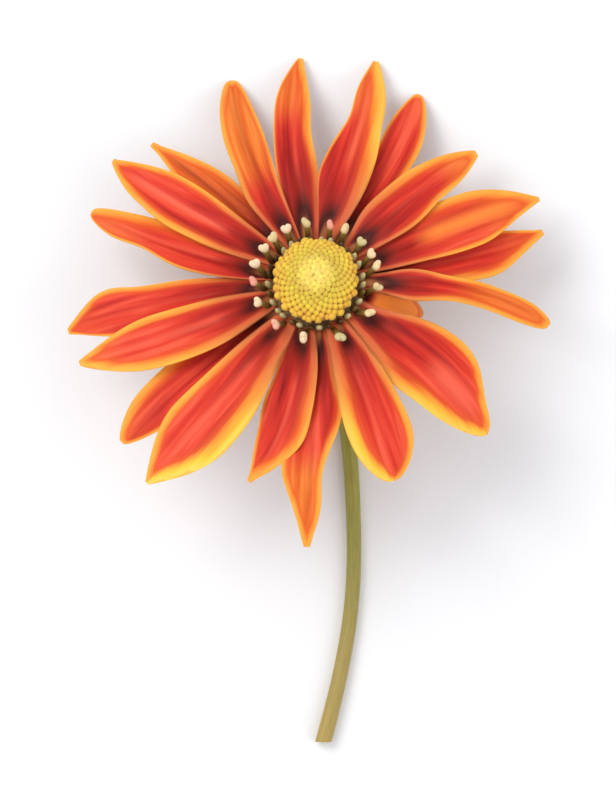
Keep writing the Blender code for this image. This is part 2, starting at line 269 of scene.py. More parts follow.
@dataclass(frozen=True)
class Head:
    """The tilted plane that the whole head is built on."""

    middle_x: float = 1.3 * MM
    middle_y: float = 20.4 * MM
    tilt: float = math.radians(22)
    height: float = 20.5 * MM
    back: float = 0.9 * MM  # the disc leans over by this much, so the plane's middle stands back

    def matrix(self) -> Matrix:
        """Moves a shape that stands on a level plane at the origin to its place on the head."""
        place = Matrix.Translation((self.middle_x, self.middle_y - self.back, self.height))
        return place @ Matrix.Rotation(-self.tilt, 4, "X")

    def height_at(self, y: float) -> float:
        """Height of the plane at a distance up the picture from the middle of the disc."""
        return self.height - (y + self.back) * math.tan(self.tilt)


@dataclass(frozen=True)
class Bump:
    """A place where a petal's margin swells out, or draws in where the size is below 0."""

    side: int  # 1 on the anticlockwise margin, -1 on the clockwise one
    along: float
    size: float  # in mm


@dataclass(frozen=True)
class Petal:
    """One petal, as seen from above: angles in degrees anticlockwise from +X, sizes in mm."""

    root: float
    middle: float
    tip: float
    reach: float  # from the middle of the disc to the tip
    width: float
    layer: Layer
    droop: float = 3.0  # how far the tip sinks
    widest: float = 0.6  # share of the length
    point: float = 0.9  # above 1 for a sharp tip, below 1 for a blunt one
    lean: float = 0.0  # how much wider the anticlockwise half is, as a share
    twist: float = 0.0  # how steeply the outer part tilts towards its clockwise margin
    bumps: tuple[Bump, ...] = ()
    left: float = 1.2  # width of the orange margin on the anticlockwise side
    right: float = 1.2  # the same on the clockwise side
    end: float = 1.0  # the same at the tip
    gold: float = 0.0  # how yellow a broad margin is
    tone: float = 0.0  # brighter red above 0, darker below
    shade: float = 0.0  # painted shade: darkens the anticlockwise half, or the clockwise one below 0, as a half turned from the light
    heat: float = 0.0  # how far the red turns orange towards the tip
    heat_from: float = 22.0  # distance from the middle where that starts
    line: float = 0.2  # strength of the pale line along the middle, partly the petal's own midline and partly a painted highlight along its crease, or of a dark one below 0
    line_width: float = 0.4
    line_from: float = 13.0
    glow: float = 0.0  # how orange the pale line is
    blotch: float = 1.0  # length of the dark foot against the others


FRONT, MIDDLE, BACK = Layer.FRONT, Layer.MIDDLE, Layer.BACK
PETALS = (
    Petal(-3, -3.6, -11.2, 40.4, 4.4, FRONT, widest=0.78, point=0.5, twist=0.9,
          bumps=(Bump(1, 0.3, 0.9), Bump(1, 0.75, -0.4), Bump(-1, 0.3, 0.9)), left=0.8, right=1.0,
          end=1.5, heat=0.75, heat_from=22, line=0, blotch=1.25),
    Petal(6.5, 8.5, 12.2, 40.0, 8.0, BACK, droop=4.0, widest=0.55, bumps=(Bump(-1, 0.72, 0.7),),
          left=0.6, right=1.4, end=1.2, heat=0.3, heat_from=29),
    Petal(20, 22, 20.3, 41.0, 9.4, MIDDLE, widest=0.64, point=1.1, left=1.8, right=0.9, end=1.6,
          heat=0.35, heat_from=28, line=0.95, line_width=1.3, line_from=17, glow=0.9),
    Petal(40, 41, 38.9, 35.5, 8.2, FRONT, widest=0.55,
          bumps=(Bump(1, 0.25, 0.6), Bump(-1, 0.62, -0.5), Bump(-1, 0.9, 0.5)), left=1.5, right=1.0,
          end=1.8, shade=-0.4, heat=0.8, heat_from=26),
    Petal(58.5, 58.5, 61.2, 37.3, 6.9, BACK, droop=5.95, widest=0.7, point=0.65, lean=-0.12, left=0.5,
          right=1.0, heat=0.2, heat_from=31),
    Petal(78, 74.3, 74.7, 39.8, 8.6, FRONT, droop=5.7, widest=0.52, point=0.8, lean=-0.08,
          bumps=(Bump(1, 0.33, 0.6), Bump(1, 0.68, -1.2), Bump(-1, 0.66, -0.6)), left=0.4, right=2.4,
          end=0.8, gold=0.4, shade=0.2, heat=0.5, heat_from=27, line=0.7, line_width=0.6, line_from=18,
          glow=0.2),
    Petal(100, 99, 93.8, 39.0, 7.2, MIDDLE, droop=4.3, widest=0.56, point=0.8,
          bumps=(Bump(1, 0.8, 0.3), Bump(-1, 0.1, 0.25), Bump(-1, 0.36, 0.4), Bump(-1, 0.62, -0.6)),
          left=0.4, right=1.3, end=0.6, tone=-0.12, shade=0.3, heat=0.85, heat_from=26, line=0.25,
          blotch=1.25),
    Petal(121, 118, 112.6, 38.0, 6.7, FRONT, droop=7.45, widest=0.66, point=0.45, twist=0.35,
          bumps=(Bump(1, 0.35, 0.8),), left=1.2, right=0.8, heat=1.0, heat_from=17, line=-0.35),
    Petal(136, 138, 139.9, 37.0, 6.8, BACK, droop=4.0, widest=0.55, point=1.2, left=0.9, right=1.2,
          end=0.5, tone=-0.12, heat=0.85, heat_from=10, line=-0.6),
    Petal(150, 151, 149.3, 40.6, 8.8, FRONT, droop=2.5, widest=0.65, bumps=(Bump(1, 0.75, -0.6),),
          left=1.2, right=1.1, shade=0.3, line=0.85, line_width=0.5, line_from=15),
    Petal(169.5, 166.5, 162.8, 40.3, 6.8, MIDDLE, point=0.55, twist=0.3, bumps=(Bump(1, 0.7, -1.1),),
          left=0.4, right=1.7, end=0.5, heat=0.3, heat_from=28, line=0.4),
    Petal(186.5, 188.3, 191.6, 43.2, 7.2, BACK, droop=5.0, widest=0.7, bumps=(Bump(-1, 0.8, 1.5),),
          left=0.5, right=1.1, end=0.6, tone=-0.1, heat=0.15, heat_from=34),
    Petal(202.5, 201, 199.4, 42.6, 9.2, FRONT, widest=0.58, lean=0.06, left=1.8, right=1.2, end=1.6,
          gold=0.3, tone=0.02, shade=-0.3, heat=0.4, heat_from=33, line=0.5, line_width=0.7),
    Petal(215.5, 217.2, 220, 43.0, 8.2, BACK, droop=6.0, widest=0.62, point=0.65,
          bumps=(Bump(-1, 0.82, 0.5),), left=0.6, right=1.7, end=1.0, tone=-0.04, heat=0.2,
          heat_from=34),
    Petal(233, 231.8, 230.3, 44.7, 11.4, FRONT, droop=4.0, widest=0.66, lean=0.06,
          bumps=(Bump(1, 0.45, 0.4),), left=2.8, right=1.5, end=1.8, gold=1, shade=0.4, line=0.35,
          line_width=1.0),
    Petal(257, 258.3, 251.7, 36.1, 8.0, MIDDLE, droop=6.0, widest=0.55, point=1.1,
          bumps=(Bump(1, 0.7, 0.5), Bump(-1, 0.5, 0.4), Bump(-1, 0.85, 0.5)), left=1.9, right=0.6,
          end=0.4, line=0.4),
    Petal(271, 268.7, 268.1, 45.3, 7.4, BACK, droop=8.0, widest=0.58,
          bumps=(Bump(1, 0.1, 0.25), Bump(1, 0.4, 1.5), Bump(1, 0.68, -1.4), Bump(-1, 0.66, 1.2)),
          left=1.1, right=1.1, end=0.8, heat=0.95, heat_from=28, line=-0.2, blotch=1.3),
    Petal(294, 292.9, 291.1, 36.6, 10.6, FRONT, droop=6.0, widest=0.72, point=0.55, lean=0.06,
          bumps=(Bump(1, 0.45, 0.2),), left=1.4, right=2.5, end=0.8, gold=0.9, tone=0.02, line=0.3),
    Petal(324, 324, 317.8, 39.2, 12.8, MIDDLE, droop=6.0, point=0.6,
          bumps=(Bump(1, 0.2, -0.9), Bump(1, 0.86, -1.5), Bump(-1, 0.08, 0.5), Bump(-1, 0.45, 0.5)),
          left=1.4, right=2.5, end=1.2, gold=0.7, heat=0.3, heat_from=33, line=0.8, line_width=1.8,
          line_from=22),
    Petal(342, 342, 343, 19.4, 7.0, BACK, droop=11.0, widest=0.55, point=0.8, left=0.8, right=0.8,
          end=0.8, tone=0.8, heat=1.0, heat_from=6, line=0, blotch=0.3),
)


@dataclass(frozen=True)
class PetalFace:
    """Upper skin of a petal: living tissue with a waxy bloom, soft satin with fine long veins, and painted
    shade and highlights in its colour.
    """

    body: Stops = ((0.05, "#74120e"), (0.28, "#a01a16"), (0.5, "#c62a1e"), (0.72, "#e13c27"),
                   (0.95, "#f25c3f"))
    hot_body: Stops = ((0.1, "#93380f"), (0.38, "#cc5419"), (0.62, "#ea7026"), (0.85, "#f58a38"),
                       (1.0, "#ff9036"))
    rim: Stops = ((0.0, "#f6a63a"), (0.15, "#feae40"), (0.45, "#fb9c3c"), (0.8, "#f47a2c"),
                  (1.0, "#e65a20"))
    gold_rim: Stops = ((0.0, "#f8bc48"), (0.1, "#ffd65c"), (0.45, "#ffc83e"), (0.8, "#fb9a34"),
                       (1.0, "#e86028"))
    inner_rim: Stops = ((0.0, "#a4502c"), (0.2, "#d67044"), (0.7, "#dc6038"), (1.0, "#bc3824"))
    foot: Stops = ((0.16, "#b06a3a"), (0.4, "#5c2214"), (0.56, "#46130d"), (0.74, "#7a1c12"),
                   (0.95, "#a02316"))
    # the pale middle line and its orange form: partly the petal's own colour, partly a painted highlight
    # along its crease
    midline_and_highlight: str = "#fb6c50"
    orange_midline_and_highlight: str = "#ff8c34"
    dark_line: str = "#8c2a12"
    streaks: Rates = (0.06, 0.8, 1.0)  # to a mm along and across: soft streaks 1.2 mm apart
    streak_share: float = 1.3  # of the streaks in the brightness
    veins: Rates = (0.12, 3.4, 1.0)  # to a mm the same way: real veins lie about 0.3 mm apart
    vein_depth: float = 0.035 * MM
    bell: float = 0.37  # raised to the square of a distance, this falls as a bell curve does
    foot_ragged: float = 0.5
    foot_fades: Span = (0.75, 1.5)  # in lengths of the dark foot
    margin_ragged: float = 0.9
    margin_fades: Span = (0.6, 1.6)  # in widths of the margin
    coral_turns: Span = (11.0, 27.0)  # mm from the disc's middle, where coral turns to orange
    rough: Span = (0.5, 0.62)

    def build(self) -> bpy.types.Material:
        """Makes the material, which reads the place on the petal from the mesh.

        Returns:
            The material.
        """
        material, tree, shader = new_material("petal_face_satin_tissue")
        read = {
            name: add_node(tree, "Attribute", attribute_name=f"petal_{name}").outputs["Vector"]
            for name in ("place", "margin", "tint", "line", "gold")
        }
        spots, edges, tints, lines, golds = (
            add_node(tree, "SeparateXYZ", {0: vector}).outputs for vector in read.values()
        )
        streak_place, vein_place = (
            add_node(tree, "VectorMath", {0: read["place"], 1: rates}, operation="MULTIPLY").outputs[0]
            for rates in (self.streaks, self.veins)
        )

        # Long soft streaks of darker and paler red: partly the petal's own streaky colour, partly painted
        # shade and light of its fine lengthwise folds
        streak = add_node(
            tree, "TexNoise", {"Vector": streak_place, "Scale": 1.0, "Detail": 3.0}
        ).outputs[0]
        tone = add_node(
            tree, "Math", {0: streak, 1: self.streak_share, 2: tints[1]}, operation="MULTIPLY_ADD"
        ).outputs[0]
        body = add_node(tree, "ValToRGB", {0: tone}, stops=self.body).outputs[0]
        hot = add_node(tree, "ValToRGB", {0: tone}, stops=self.hot_body).outputs[0]
        colour = add_node(tree, "Mix", {0: tints[0], 6: body, 7: hot}, data_type="RGBA").outputs[2]

        # The line along the middle: where pale, partly the petal's own midline and partly a painted
        # highlight along its crease
        across = add_node(tree, "Math", {0: spots[1], 1: lines[2]}, operation="DIVIDE").outputs[0]
        square = add_node(tree, "Math", {0: across, 1: across}, operation="MULTIPLY").outputs[0]
        fall = add_node(tree, "Math", {0: self.bell, 1: square}, operation="POWER").outputs[0]
        pale = add_node(
            tree, "Mix", {0: golds[1], 6: linear(self.midline_and_highlight), 7: linear(self.orange_midline_and_highlight)},
            data_type="RGBA",
        ).outputs[2]
        for strength, shown in ((lines[0], pale), (lines[1], linear(self.dark_line))):
            share = add_node(tree, "Math", {0: fall, 1: strength}, operation="MULTIPLY").outputs[0]
            colour = add_node(tree, "Mix", {0: share, 6: colour, 7: shown}, data_type="RGBA").outputs[2]

        # The dark foot, longest along the middle, with a streaky end
        ragged = add_node(
            tree, "Math", {0: streak, 1: self.foot_ragged, 2: tints[2]}, operation="MULTIPLY_ADD"
        ).outputs[0]
        foot = add_node(tree, "ValToRGB", {0: ragged}, stops=self.foot).outputs[0]
        foot_share = add_node(
            tree, "MapRange", {0: ragged, 1: self.foot_fades[0], 2: self.foot_fades[1], 3: 1.0, 4: 0.0},
            interpolation_type="SMOOTHSTEP",
        ).outputs[0]
        colour = add_node(
            tree, "Mix", {0: foot_share, 6: colour, 7: foot}, data_type="RGBA"
        ).outputs[2]

        # The orange margin, yellow where it is broad, and dull coral near the disc
        nearest = edges[0]
        for other, corner in ((edges[1], 0.25), (edges[2], 0.4)):
            nearest = add_node(
                tree, "Math", {0: nearest, 1: other, 2: corner}, operation="SMOOTH_MIN"
            ).outputs[0]
        depth = add_node(
            tree, "Math", {0: streak, 1: self.margin_ragged, 2: nearest}, operation="MULTIPLY_ADD"
        ).outputs[0]
        depth = add_node(
            tree, "Math", {0: depth, 1: self.margin_ragged / 2}, operation="SUBTRACT"
        ).outputs[0]
        orange, yellow, coral = (
            add_node(tree, "ValToRGB", {0: depth}, stops=stops).outputs[0]
            for stops in (self.rim, self.gold_rim, self.inner_rim)
        )
        outward = add_node(
            tree, "MapRange", {0: spots[0], 1: self.coral_turns[0], 2: self.coral_turns[1]},
            interpolation_type="SMOOTHSTEP",
        ).outputs[0]
        rim = add_node(tree, "Mix", {0: golds[0], 6: orange, 7: yellow}, data_type="RGBA").outputs[2]
        rim = add_node(tree, "Mix", {0: outward, 6: coral, 7: rim}, data_type="RGBA").outputs[2]
        rim_share = add_node(
            tree, "MapRange", {0: depth, 1: self.margin_fades[0], 2: self.margin_fades[1], 3: 1.0, 4: 0.0},
            interpolation_type="SMOOTHSTEP",
        ).outputs[0]
        colour = add_node(tree, "Mix", {0: rim_share, 6: colour, 7: rim}, data_type="RGBA").outputs[2]

        # Fine parallel veins
        vein = add_node(tree, "TexNoise", {"Vector": vein_place, "Scale": 1.0, "Detail": 2.0}).outputs[0]
        bump = add_node(tree, "Bump", {"Strength": 0.6, "Distance": self.vein_depth, "Height": vein})
        rough = add_node(
            tree, "MapRange", {0: vein, 1: NOISE[0], 2: NOISE[1], 3: self.rough[0], 4: self.rough[1]}
        ).outputs[0]
        connect(tree, shader, {
            "Base Color": colour, "Roughness": rough, "Normal": bump.outputs[0], "IOR": 1.4,
            "Specular IOR Level": 0.25,
        })
        return material


@dataclass(frozen=True)
class PetalBack:
    """Lower skin of a petal: paler and duller than the face, with a broad bronze stripe."""

    body: Stops = ((0.3, "#b8583a"), (0.7, "#d9774a"))
    stripe: Stops = ((0.3, "#6b4a2c"), (0.7, "#8a6a3a"))
    rim: Stops = ((0.0, "#e8b45c"), (1.0, "#d98a4c"))
    streaks: Rates = (0.1, 2.2, 1.0)  # to a mm along and across: streaks about 0.5 mm apart
    stripe_length: Span = (8.0, 42.0)  # mm from the disc's middle
    stripe_half: Span = (2.4, 0.2)  # half its width in mm at those two places
    stripe_edge: Span = (-0.5, 0.7)  # mm inside its border, over which it gets its full strength
    rim_fades: Span = (0.4, 1.3)  # in widths of the margin
    streak_depth: float = 0.05 * MM

    def build(self) -> bpy.types.Material:
        """Makes the material, which reads the place on the petal from the mesh.

        Returns:
            The material.
        """
        material, tree, shader = new_material("petal_back_dull_tissue")
        place, margin = (
            add_node(tree, "Attribute", attribute_name=f"petal_{name}").outputs["Vector"]
            for name in ("place", "margin")
        )
        spots, edges = (add_node(tree, "SeparateXYZ", {0: vector}).outputs for vector in (place, margin))
        streak_place = add_node(tree, "VectorMath", {0: place, 1: self.streaks}, operation="MULTIPLY")
        streak = add_node(
            tree, "TexNoise", {"Vector": streak_place.outputs[0], "Scale": 1.0, "Detail": 3.0}
        ).outputs[0]
        body = add_node(tree, "ValToRGB", {0: streak}, stops=self.body).outputs[0]
        stripe = add_node(tree, "ValToRGB", {0: streak}, stops=self.stripe).outputs[0]

        # The bronze stripe, which tapers towards the tip
        middle = add_node(tree, "Math", {0: spots[1]}, operation="ABSOLUTE").outputs[0]
        (root, tip), (broad, narrow) = self.stripe_length, self.stripe_half
        taper = add_node(tree, "MapRange", {0: spots[0], 1: root, 2: tip, 3: broad, 4: narrow}).outputs[0]
        inside = add_node(tree, "Math", {0: taper, 1: middle}, operation="SUBTRACT").outputs[0]
        stripe_share = add_node(
            tree, "MapRange", {0: inside, 1: self.stripe_edge[0], 2: self.stripe_edge[1], 3: 0.0, 4: 0.85},
            interpolation_type="SMOOTHSTEP",
        ).outputs[0]
        colour = add_node(
            tree, "Mix", {0: stripe_share, 6: body, 7: stripe}, data_type="RGBA"
        ).outputs[2]

        # The paler margin
        nearest = add_node(tree, "Math", {0: edges[0], 1: edges[1]}, operation="MINIMUM").outputs[0]
        rim = add_node(tree, "ValToRGB", {0: nearest}, stops=self.rim).outputs[0]
        rim_share = add_node(
            tree, "MapRange", {0: nearest, 1: self.rim_fades[0], 2: self.rim_fades[1], 3: 0.9, 4: 0.0},
            interpolation_type="SMOOTHSTEP",
        ).outputs[0]
        colour = add_node(tree, "Mix", {0: rim_share, 6: colour, 7: rim}, data_type="RGBA").outputs[2]
        bump = add_node(tree, "Bump", {"Strength": 0.7, "Distance": self.streak_depth, "Height": streak})
        connect(tree, shader, {
            "Base Color": colour, "Normal": bump.outputs[0], "Roughness": 0.6, "IOR": 1.42,
        })
        return material


@dataclass(frozen=True)
class ReceptacleSkin:
    """Flesh that the florets grow from: dark, moist and finely pitted."""

    colours: Stops = ((0.3, "#5c3c1c"), (0.7, "#8c6a32"))
    pits: float = 1.5  # to a mm
    pit_depth: float = 0.1 * MM

    def build(self) -> bpy.types.Material:
        """Makes the material.

        Returns:
            The material.
        """
        material, tree, shader = new_material("receptacle_flesh")
        place = add_node(tree, "TexCoord").outputs["Object"]
        pits = add_node(
            tree, "TexNoise", {"Vector": place, "Scale": self.pits / MM, "Detail": 2.0}
        ).outputs[0]
        colour = add_node(tree, "ValToRGB", {0: pits}, stops=self.colours).outputs[0]
        bump = add_node(tree, "Bump", {"Strength": 0.5, "Distance": self.pit_depth, "Height": pits})
        connect(tree, shader, {"Base Color": colour, "Normal": bump.outputs[0], "Roughness": 0.6})
        return material


@dataclass(frozen=True)
class BudSkin:
    """Closed disc florets: dry mealy golden skin, palest at their tops and in the disc's middle, with a
    ring of painted shade round that pale middle.
    """

    # the darker stop at 0.5 is a ring of painted shade round the foot of the pale button
    tops: Stops = ((0.0, "#f8e06c"), (0.3, "#f4d85a"), (0.5, "#dcbe38"), (0.66, "#e4c63a"),
                   (0.85, "#eec838"), (1.0, "#ecb430"))
    sides: Stops = ((0.0, "#ecd052"), (0.5, "#d2ae2c"), (1.0, "#c8921e"))
    top_shows: Span = (-0.5, 0.6)  # height on a floret, from -1 to 1, where its sides turn to its top
    hue: Span = (0.487, 0.507)  # from floret to floret, where 0.5 leaves the colour as it is
    value: Span = (0.94, 1.04)
    grains: float = 2.5  # of meal to a mm
    grain_depth: float = 0.05 * MM

    def build(self) -> bpy.types.Material:
        """Makes the material.

        Returns:
            The material.
        """
        material, tree, shader = new_material("closed_floret_mealy_skin")
        tone = add_node(tree, "Attribute", attribute_name="bud_tone").outputs["Vector"]
        tones = add_node(tree, "SeparateXYZ", {0: tone}).outputs
        place = add_node(tree, "TexCoord").outputs["Object"]
        grain = add_node(
            tree, "TexNoise", {"Vector": place, "Scale": self.grains / MM, "Detail": 2.0}
        ).outputs[0]
        tops = add_node(tree, "ValToRGB", {0: tones[0]}, stops=self.tops).outputs[0]
        sides = add_node(tree, "ValToRGB", {0: tones[0]}, stops=self.sides).outputs[0]
        top_share = add_node(
            tree, "MapRange", {0: tones[1], 1: self.top_shows[0], 2: self.top_shows[1]},
            interpolation_type="SMOOTHSTEP",
        ).outputs[0]
        colour = add_node(tree, "Mix", {0: top_share, 6: sides, 7: tops}, data_type="RGBA").outputs[2]
        hue, value = (
            add_node(tree, "MapRange", {0: tones[2], 3: low, 4: high}).outputs[0]
            for low, high in (self.hue, self.value)
        )
        colour = add_node(
            tree, "HueSaturation", {"Hue": hue, "Value": value, "Color": colour}
        ).outputs[0]
        bump = add_node(tree, "Bump", {"Strength": 0.5, "Distance": self.grain_depth, "Height": grain})
        connect(tree, shader, {
            "Base Color": colour, "Normal": bump.outputs[0], "Roughness": 0.7, "Sheen Weight": 0.2,
        })
        return material


@dataclass(frozen=True)
class OpenFloretSkin:
    """Open florets: dark waxy tubes whose swollen ends carry cream and pink pollen."""

    tube: Stops = ((0.0, "#3a2810"), (0.4, "#6e5220"), (0.75, "#96863c"), (1.0, "#b0a050"))
    pollen: Stops = ((0.0, "#c8bd84"), (0.25, "#efd29a"), (0.6, "#fadfba"), (0.8, "#f6c0a2"),
                     (1.0, "#f0a088"))
    pollen_from: Span = (0.72, 0.86)  # share of a floret's length, over which pollen covers it
    rough: Span = (0.4, 0.85)  # of the waxy tube and of the pollen
    grains: float = 3.0  # of pollen to a mm, coarser than real ones, which don't show
    grain_depth: float = 0.06 * MM
    ragged: float = 0.15

    def build(self) -> bpy.types.Material:
        """Makes the material.

        Returns:
            The material.
        """
        material, tree, shader = new_material("open_floret_wax_and_pollen")
        tone = add_node(tree, "Attribute", attribute_name="floret_tone").outputs["Vector"]
        tones = add_node(tree, "SeparateXYZ", {0: tone}).outputs
        place = add_node(tree, "TexCoord").outputs["Object"]
        grain = add_node(
            tree, "TexNoise", {"Vector": place, "Scale": self.grains / MM, "Detail": 2.0}
        ).outputs[0]
        tube = add_node(tree, "ValToRGB", {0: tones[0]}, stops=self.tube).outputs[0]
        pollen = add_node(tree, "ValToRGB", {0: tones[1]}, stops=self.pollen).outputs[0]
        edge = add_node(
            tree, "Math", {0: grain, 1: self.ragged, 2: tones[0]}, operation="MULTIPLY_ADD"
        ).outputs[0]
        share = add_node(
            tree, "MapRange", {0: edge, 1: self.pollen_from[0], 2: self.pollen_from[1]},
            interpolation_type="SMOOTHSTEP",
        ).outputs[0]
        colour = add_node(tree, "Mix", {0: share, 6: tube, 7: pollen}, data_type="RGBA").outputs[2]
        rough = add_node(tree, "MapRange", {0: share, 3: self.rough[0], 4: self.rough[1]}).outputs[0]
        bump = add_node(tree, "Bump", {"Strength": 0.6, "Distance": self.grain_depth, "Height": grain})
        connect(tree, shader, {"Base Color": colour, "Roughness": rough, "Normal": bump.outputs[0]})
        return material


@dataclass(frozen=True)
class CupSkin:
    """The cup and its bracts: dull green skin, finely streaked, drying to brown at the tips."""

    green: Stops = ((0.25, "#46521f"), (0.5, "#66722f"), (0.8, "#8a9148"))
    dry: str = "#6a5034"
    dry_from: Span = (0.6, 1.0)  # share of a bract's length
    dry_most: float = 0.9
    streaks: Rates = (0.3, 1.6, 2.0)  # stretched along the bracts, about 0.25 mm apart
    streak_depth: float = 0.08 * MM

    def build(self) -> bpy.types.Material:
        """Makes the material.

        Returns:
            The material.
        """
        material, tree, shader = new_material("cup_green_skin")
        tone = add_node(tree, "Attribute", attribute_name="cup_tone").outputs["Vector"]
        tones = add_node(tree, "SeparateXYZ", {0: tone}).outputs
        streak_place = add_node(tree, "VectorMath", {0: tone, 1: self.streaks}, operation="MULTIPLY")
        streak = add_node(
            tree, "TexNoise", {"Vector": streak_place.outputs[0], "Scale": 2.0, "Detail": 4.0}
        ).outputs[0]
        green = add_node(tree, "ValToRGB", {0: streak}, stops=self.green).outputs[0]
        first, last = self.dry_from
        dry_share = add_node(
            tree, "MapRange", {0: tones[0], 1: first, 2: last, 3: 0.0, 4: self.dry_most},
            interpolation_type="SMOOTHSTEP",
        ).outputs[0]
        colour = add_node(
            tree, "Mix", {0: dry_share, 6: green, 7: linear(self.dry)}, data_type="RGBA"
        ).outputs[2]
        bump = add_node(tree, "Bump", {"Strength": 0.6, "Distance": self.streak_depth, "Height": streak})
        connect(tree, shader, {"Base Color": colour, "Normal": bump.outputs[0], "Roughness": 0.55})
        return material


@dataclass(frozen=True)
class StemSkin:
    """The stalk: smooth waxy skin, green under the head and brown towards the cut end."""

    colours: Stops = ((0.0, "#b0964a"), (0.25, "#a8924a"), (0.5, "#9a903e"), (0.75, "#9e983c"),
                      (1.0, "#a09c3e"))
    green_end: float = -2.0 * MM  # along Y
    brown_end: float = -59.0 * MM
    streaks: Rates = (0.1, 1.0, 1.0)  # stretched along the stem
    streak_scale: float = 2.5  # makes them 0.3 mm apart and 4 mm long
    streak_share: float = 0.35  # of the streaks in the colour
    streak_mean: float = 0.17  # taken off again
    value: Span = (0.85, 1.12)
    streak_depth: float = 0.04 * MM

    def build(self) -> bpy.types.Material:
        """Makes the material.

        Returns:
            The material.
        """
        material, tree, shader = new_material("stalk_waxy_skin")
        place = add_node(tree, "TexCoord").outputs["Object"]
        spots = add_node(tree, "SeparateXYZ", {0: place}).outputs
        tone = add_node(tree, "Attribute", attribute_name="stem_tone").outputs["Vector"]
        streak_place = add_node(tree, "VectorMath", {0: tone, 1: self.streaks}, operation="MULTIPLY")
        streak = add_node(
            tree, "TexNoise",
            {"Vector": streak_place.outputs[0], "Scale": self.streak_scale, "Detail": 3.0},
        ).outputs[0]
        along = add_node(
            tree, "MapRange", {0: spots[1], 1: self.brown_end, 2: self.green_end}
        ).outputs[0]
        mixed = add_node(
            tree, "Math", {0: streak, 1: self.streak_share, 2: along}, operation="MULTIPLY_ADD"
        ).outputs[0]
        mixed = add_node(
            tree, "Math", {0: mixed, 1: self.streak_mean}, operation="SUBTRACT"
        ).outputs[0]
        colour = add_node(tree, "ValToRGB", {0: mixed}, stops=self.colours).outputs[0]
        value = add_node(
            tree, "MapRange", {0: streak, 1: NOISE[0], 2: NOISE[1], 3: self.value[0], 4: self.value[1]}
        ).outputs[0]
        colour = add_node(tree, "HueSaturation", {"Value": value, "Color": colour}).outputs[0]
        bump = add_node(tree, "Bump", {"Strength": 0.5, "Distance": self.streak_depth, "Height": streak})
        connect(tree, shader, {"Base Color": colour, "Normal": bump.outputs[0], "Roughness": 0.45})
        return material


@dataclass(frozen=True)
class PithSkin:
    """The cut end of the stalk: damp spongy pith with pale open cells."""

    colours: Stops = ((0.3, "#9a8450"), (0.6, "#cdbf86"))
    cells: float = 3.5  # to a mm, coarser than real ones, which don't show
    cell_depth: float = 0.08 * MM

    def build(self) -> bpy.types.Material:
        """Makes the material.

        Returns:
            The material.
        """
        material, tree, shader = new_material("stalk_pith")
        place = add_node(tree, "TexCoord").outputs["Object"]
        cells = add_node(tree, "TexVoronoi", {"Vector": place, "Scale": self.cells / MM}).outputs[0]
        colour = add_node(tree, "ValToRGB", {0: cells}, stops=self.colours).outputs[0]
        bump = add_node(tree, "Bump", {"Strength": 0.6, "Distance": self.cell_depth, "Height": cells})
        connect(tree, shader, {"Base Color": colour, "Normal": bump.outputs[0], "Roughness": 0.7})
        return material


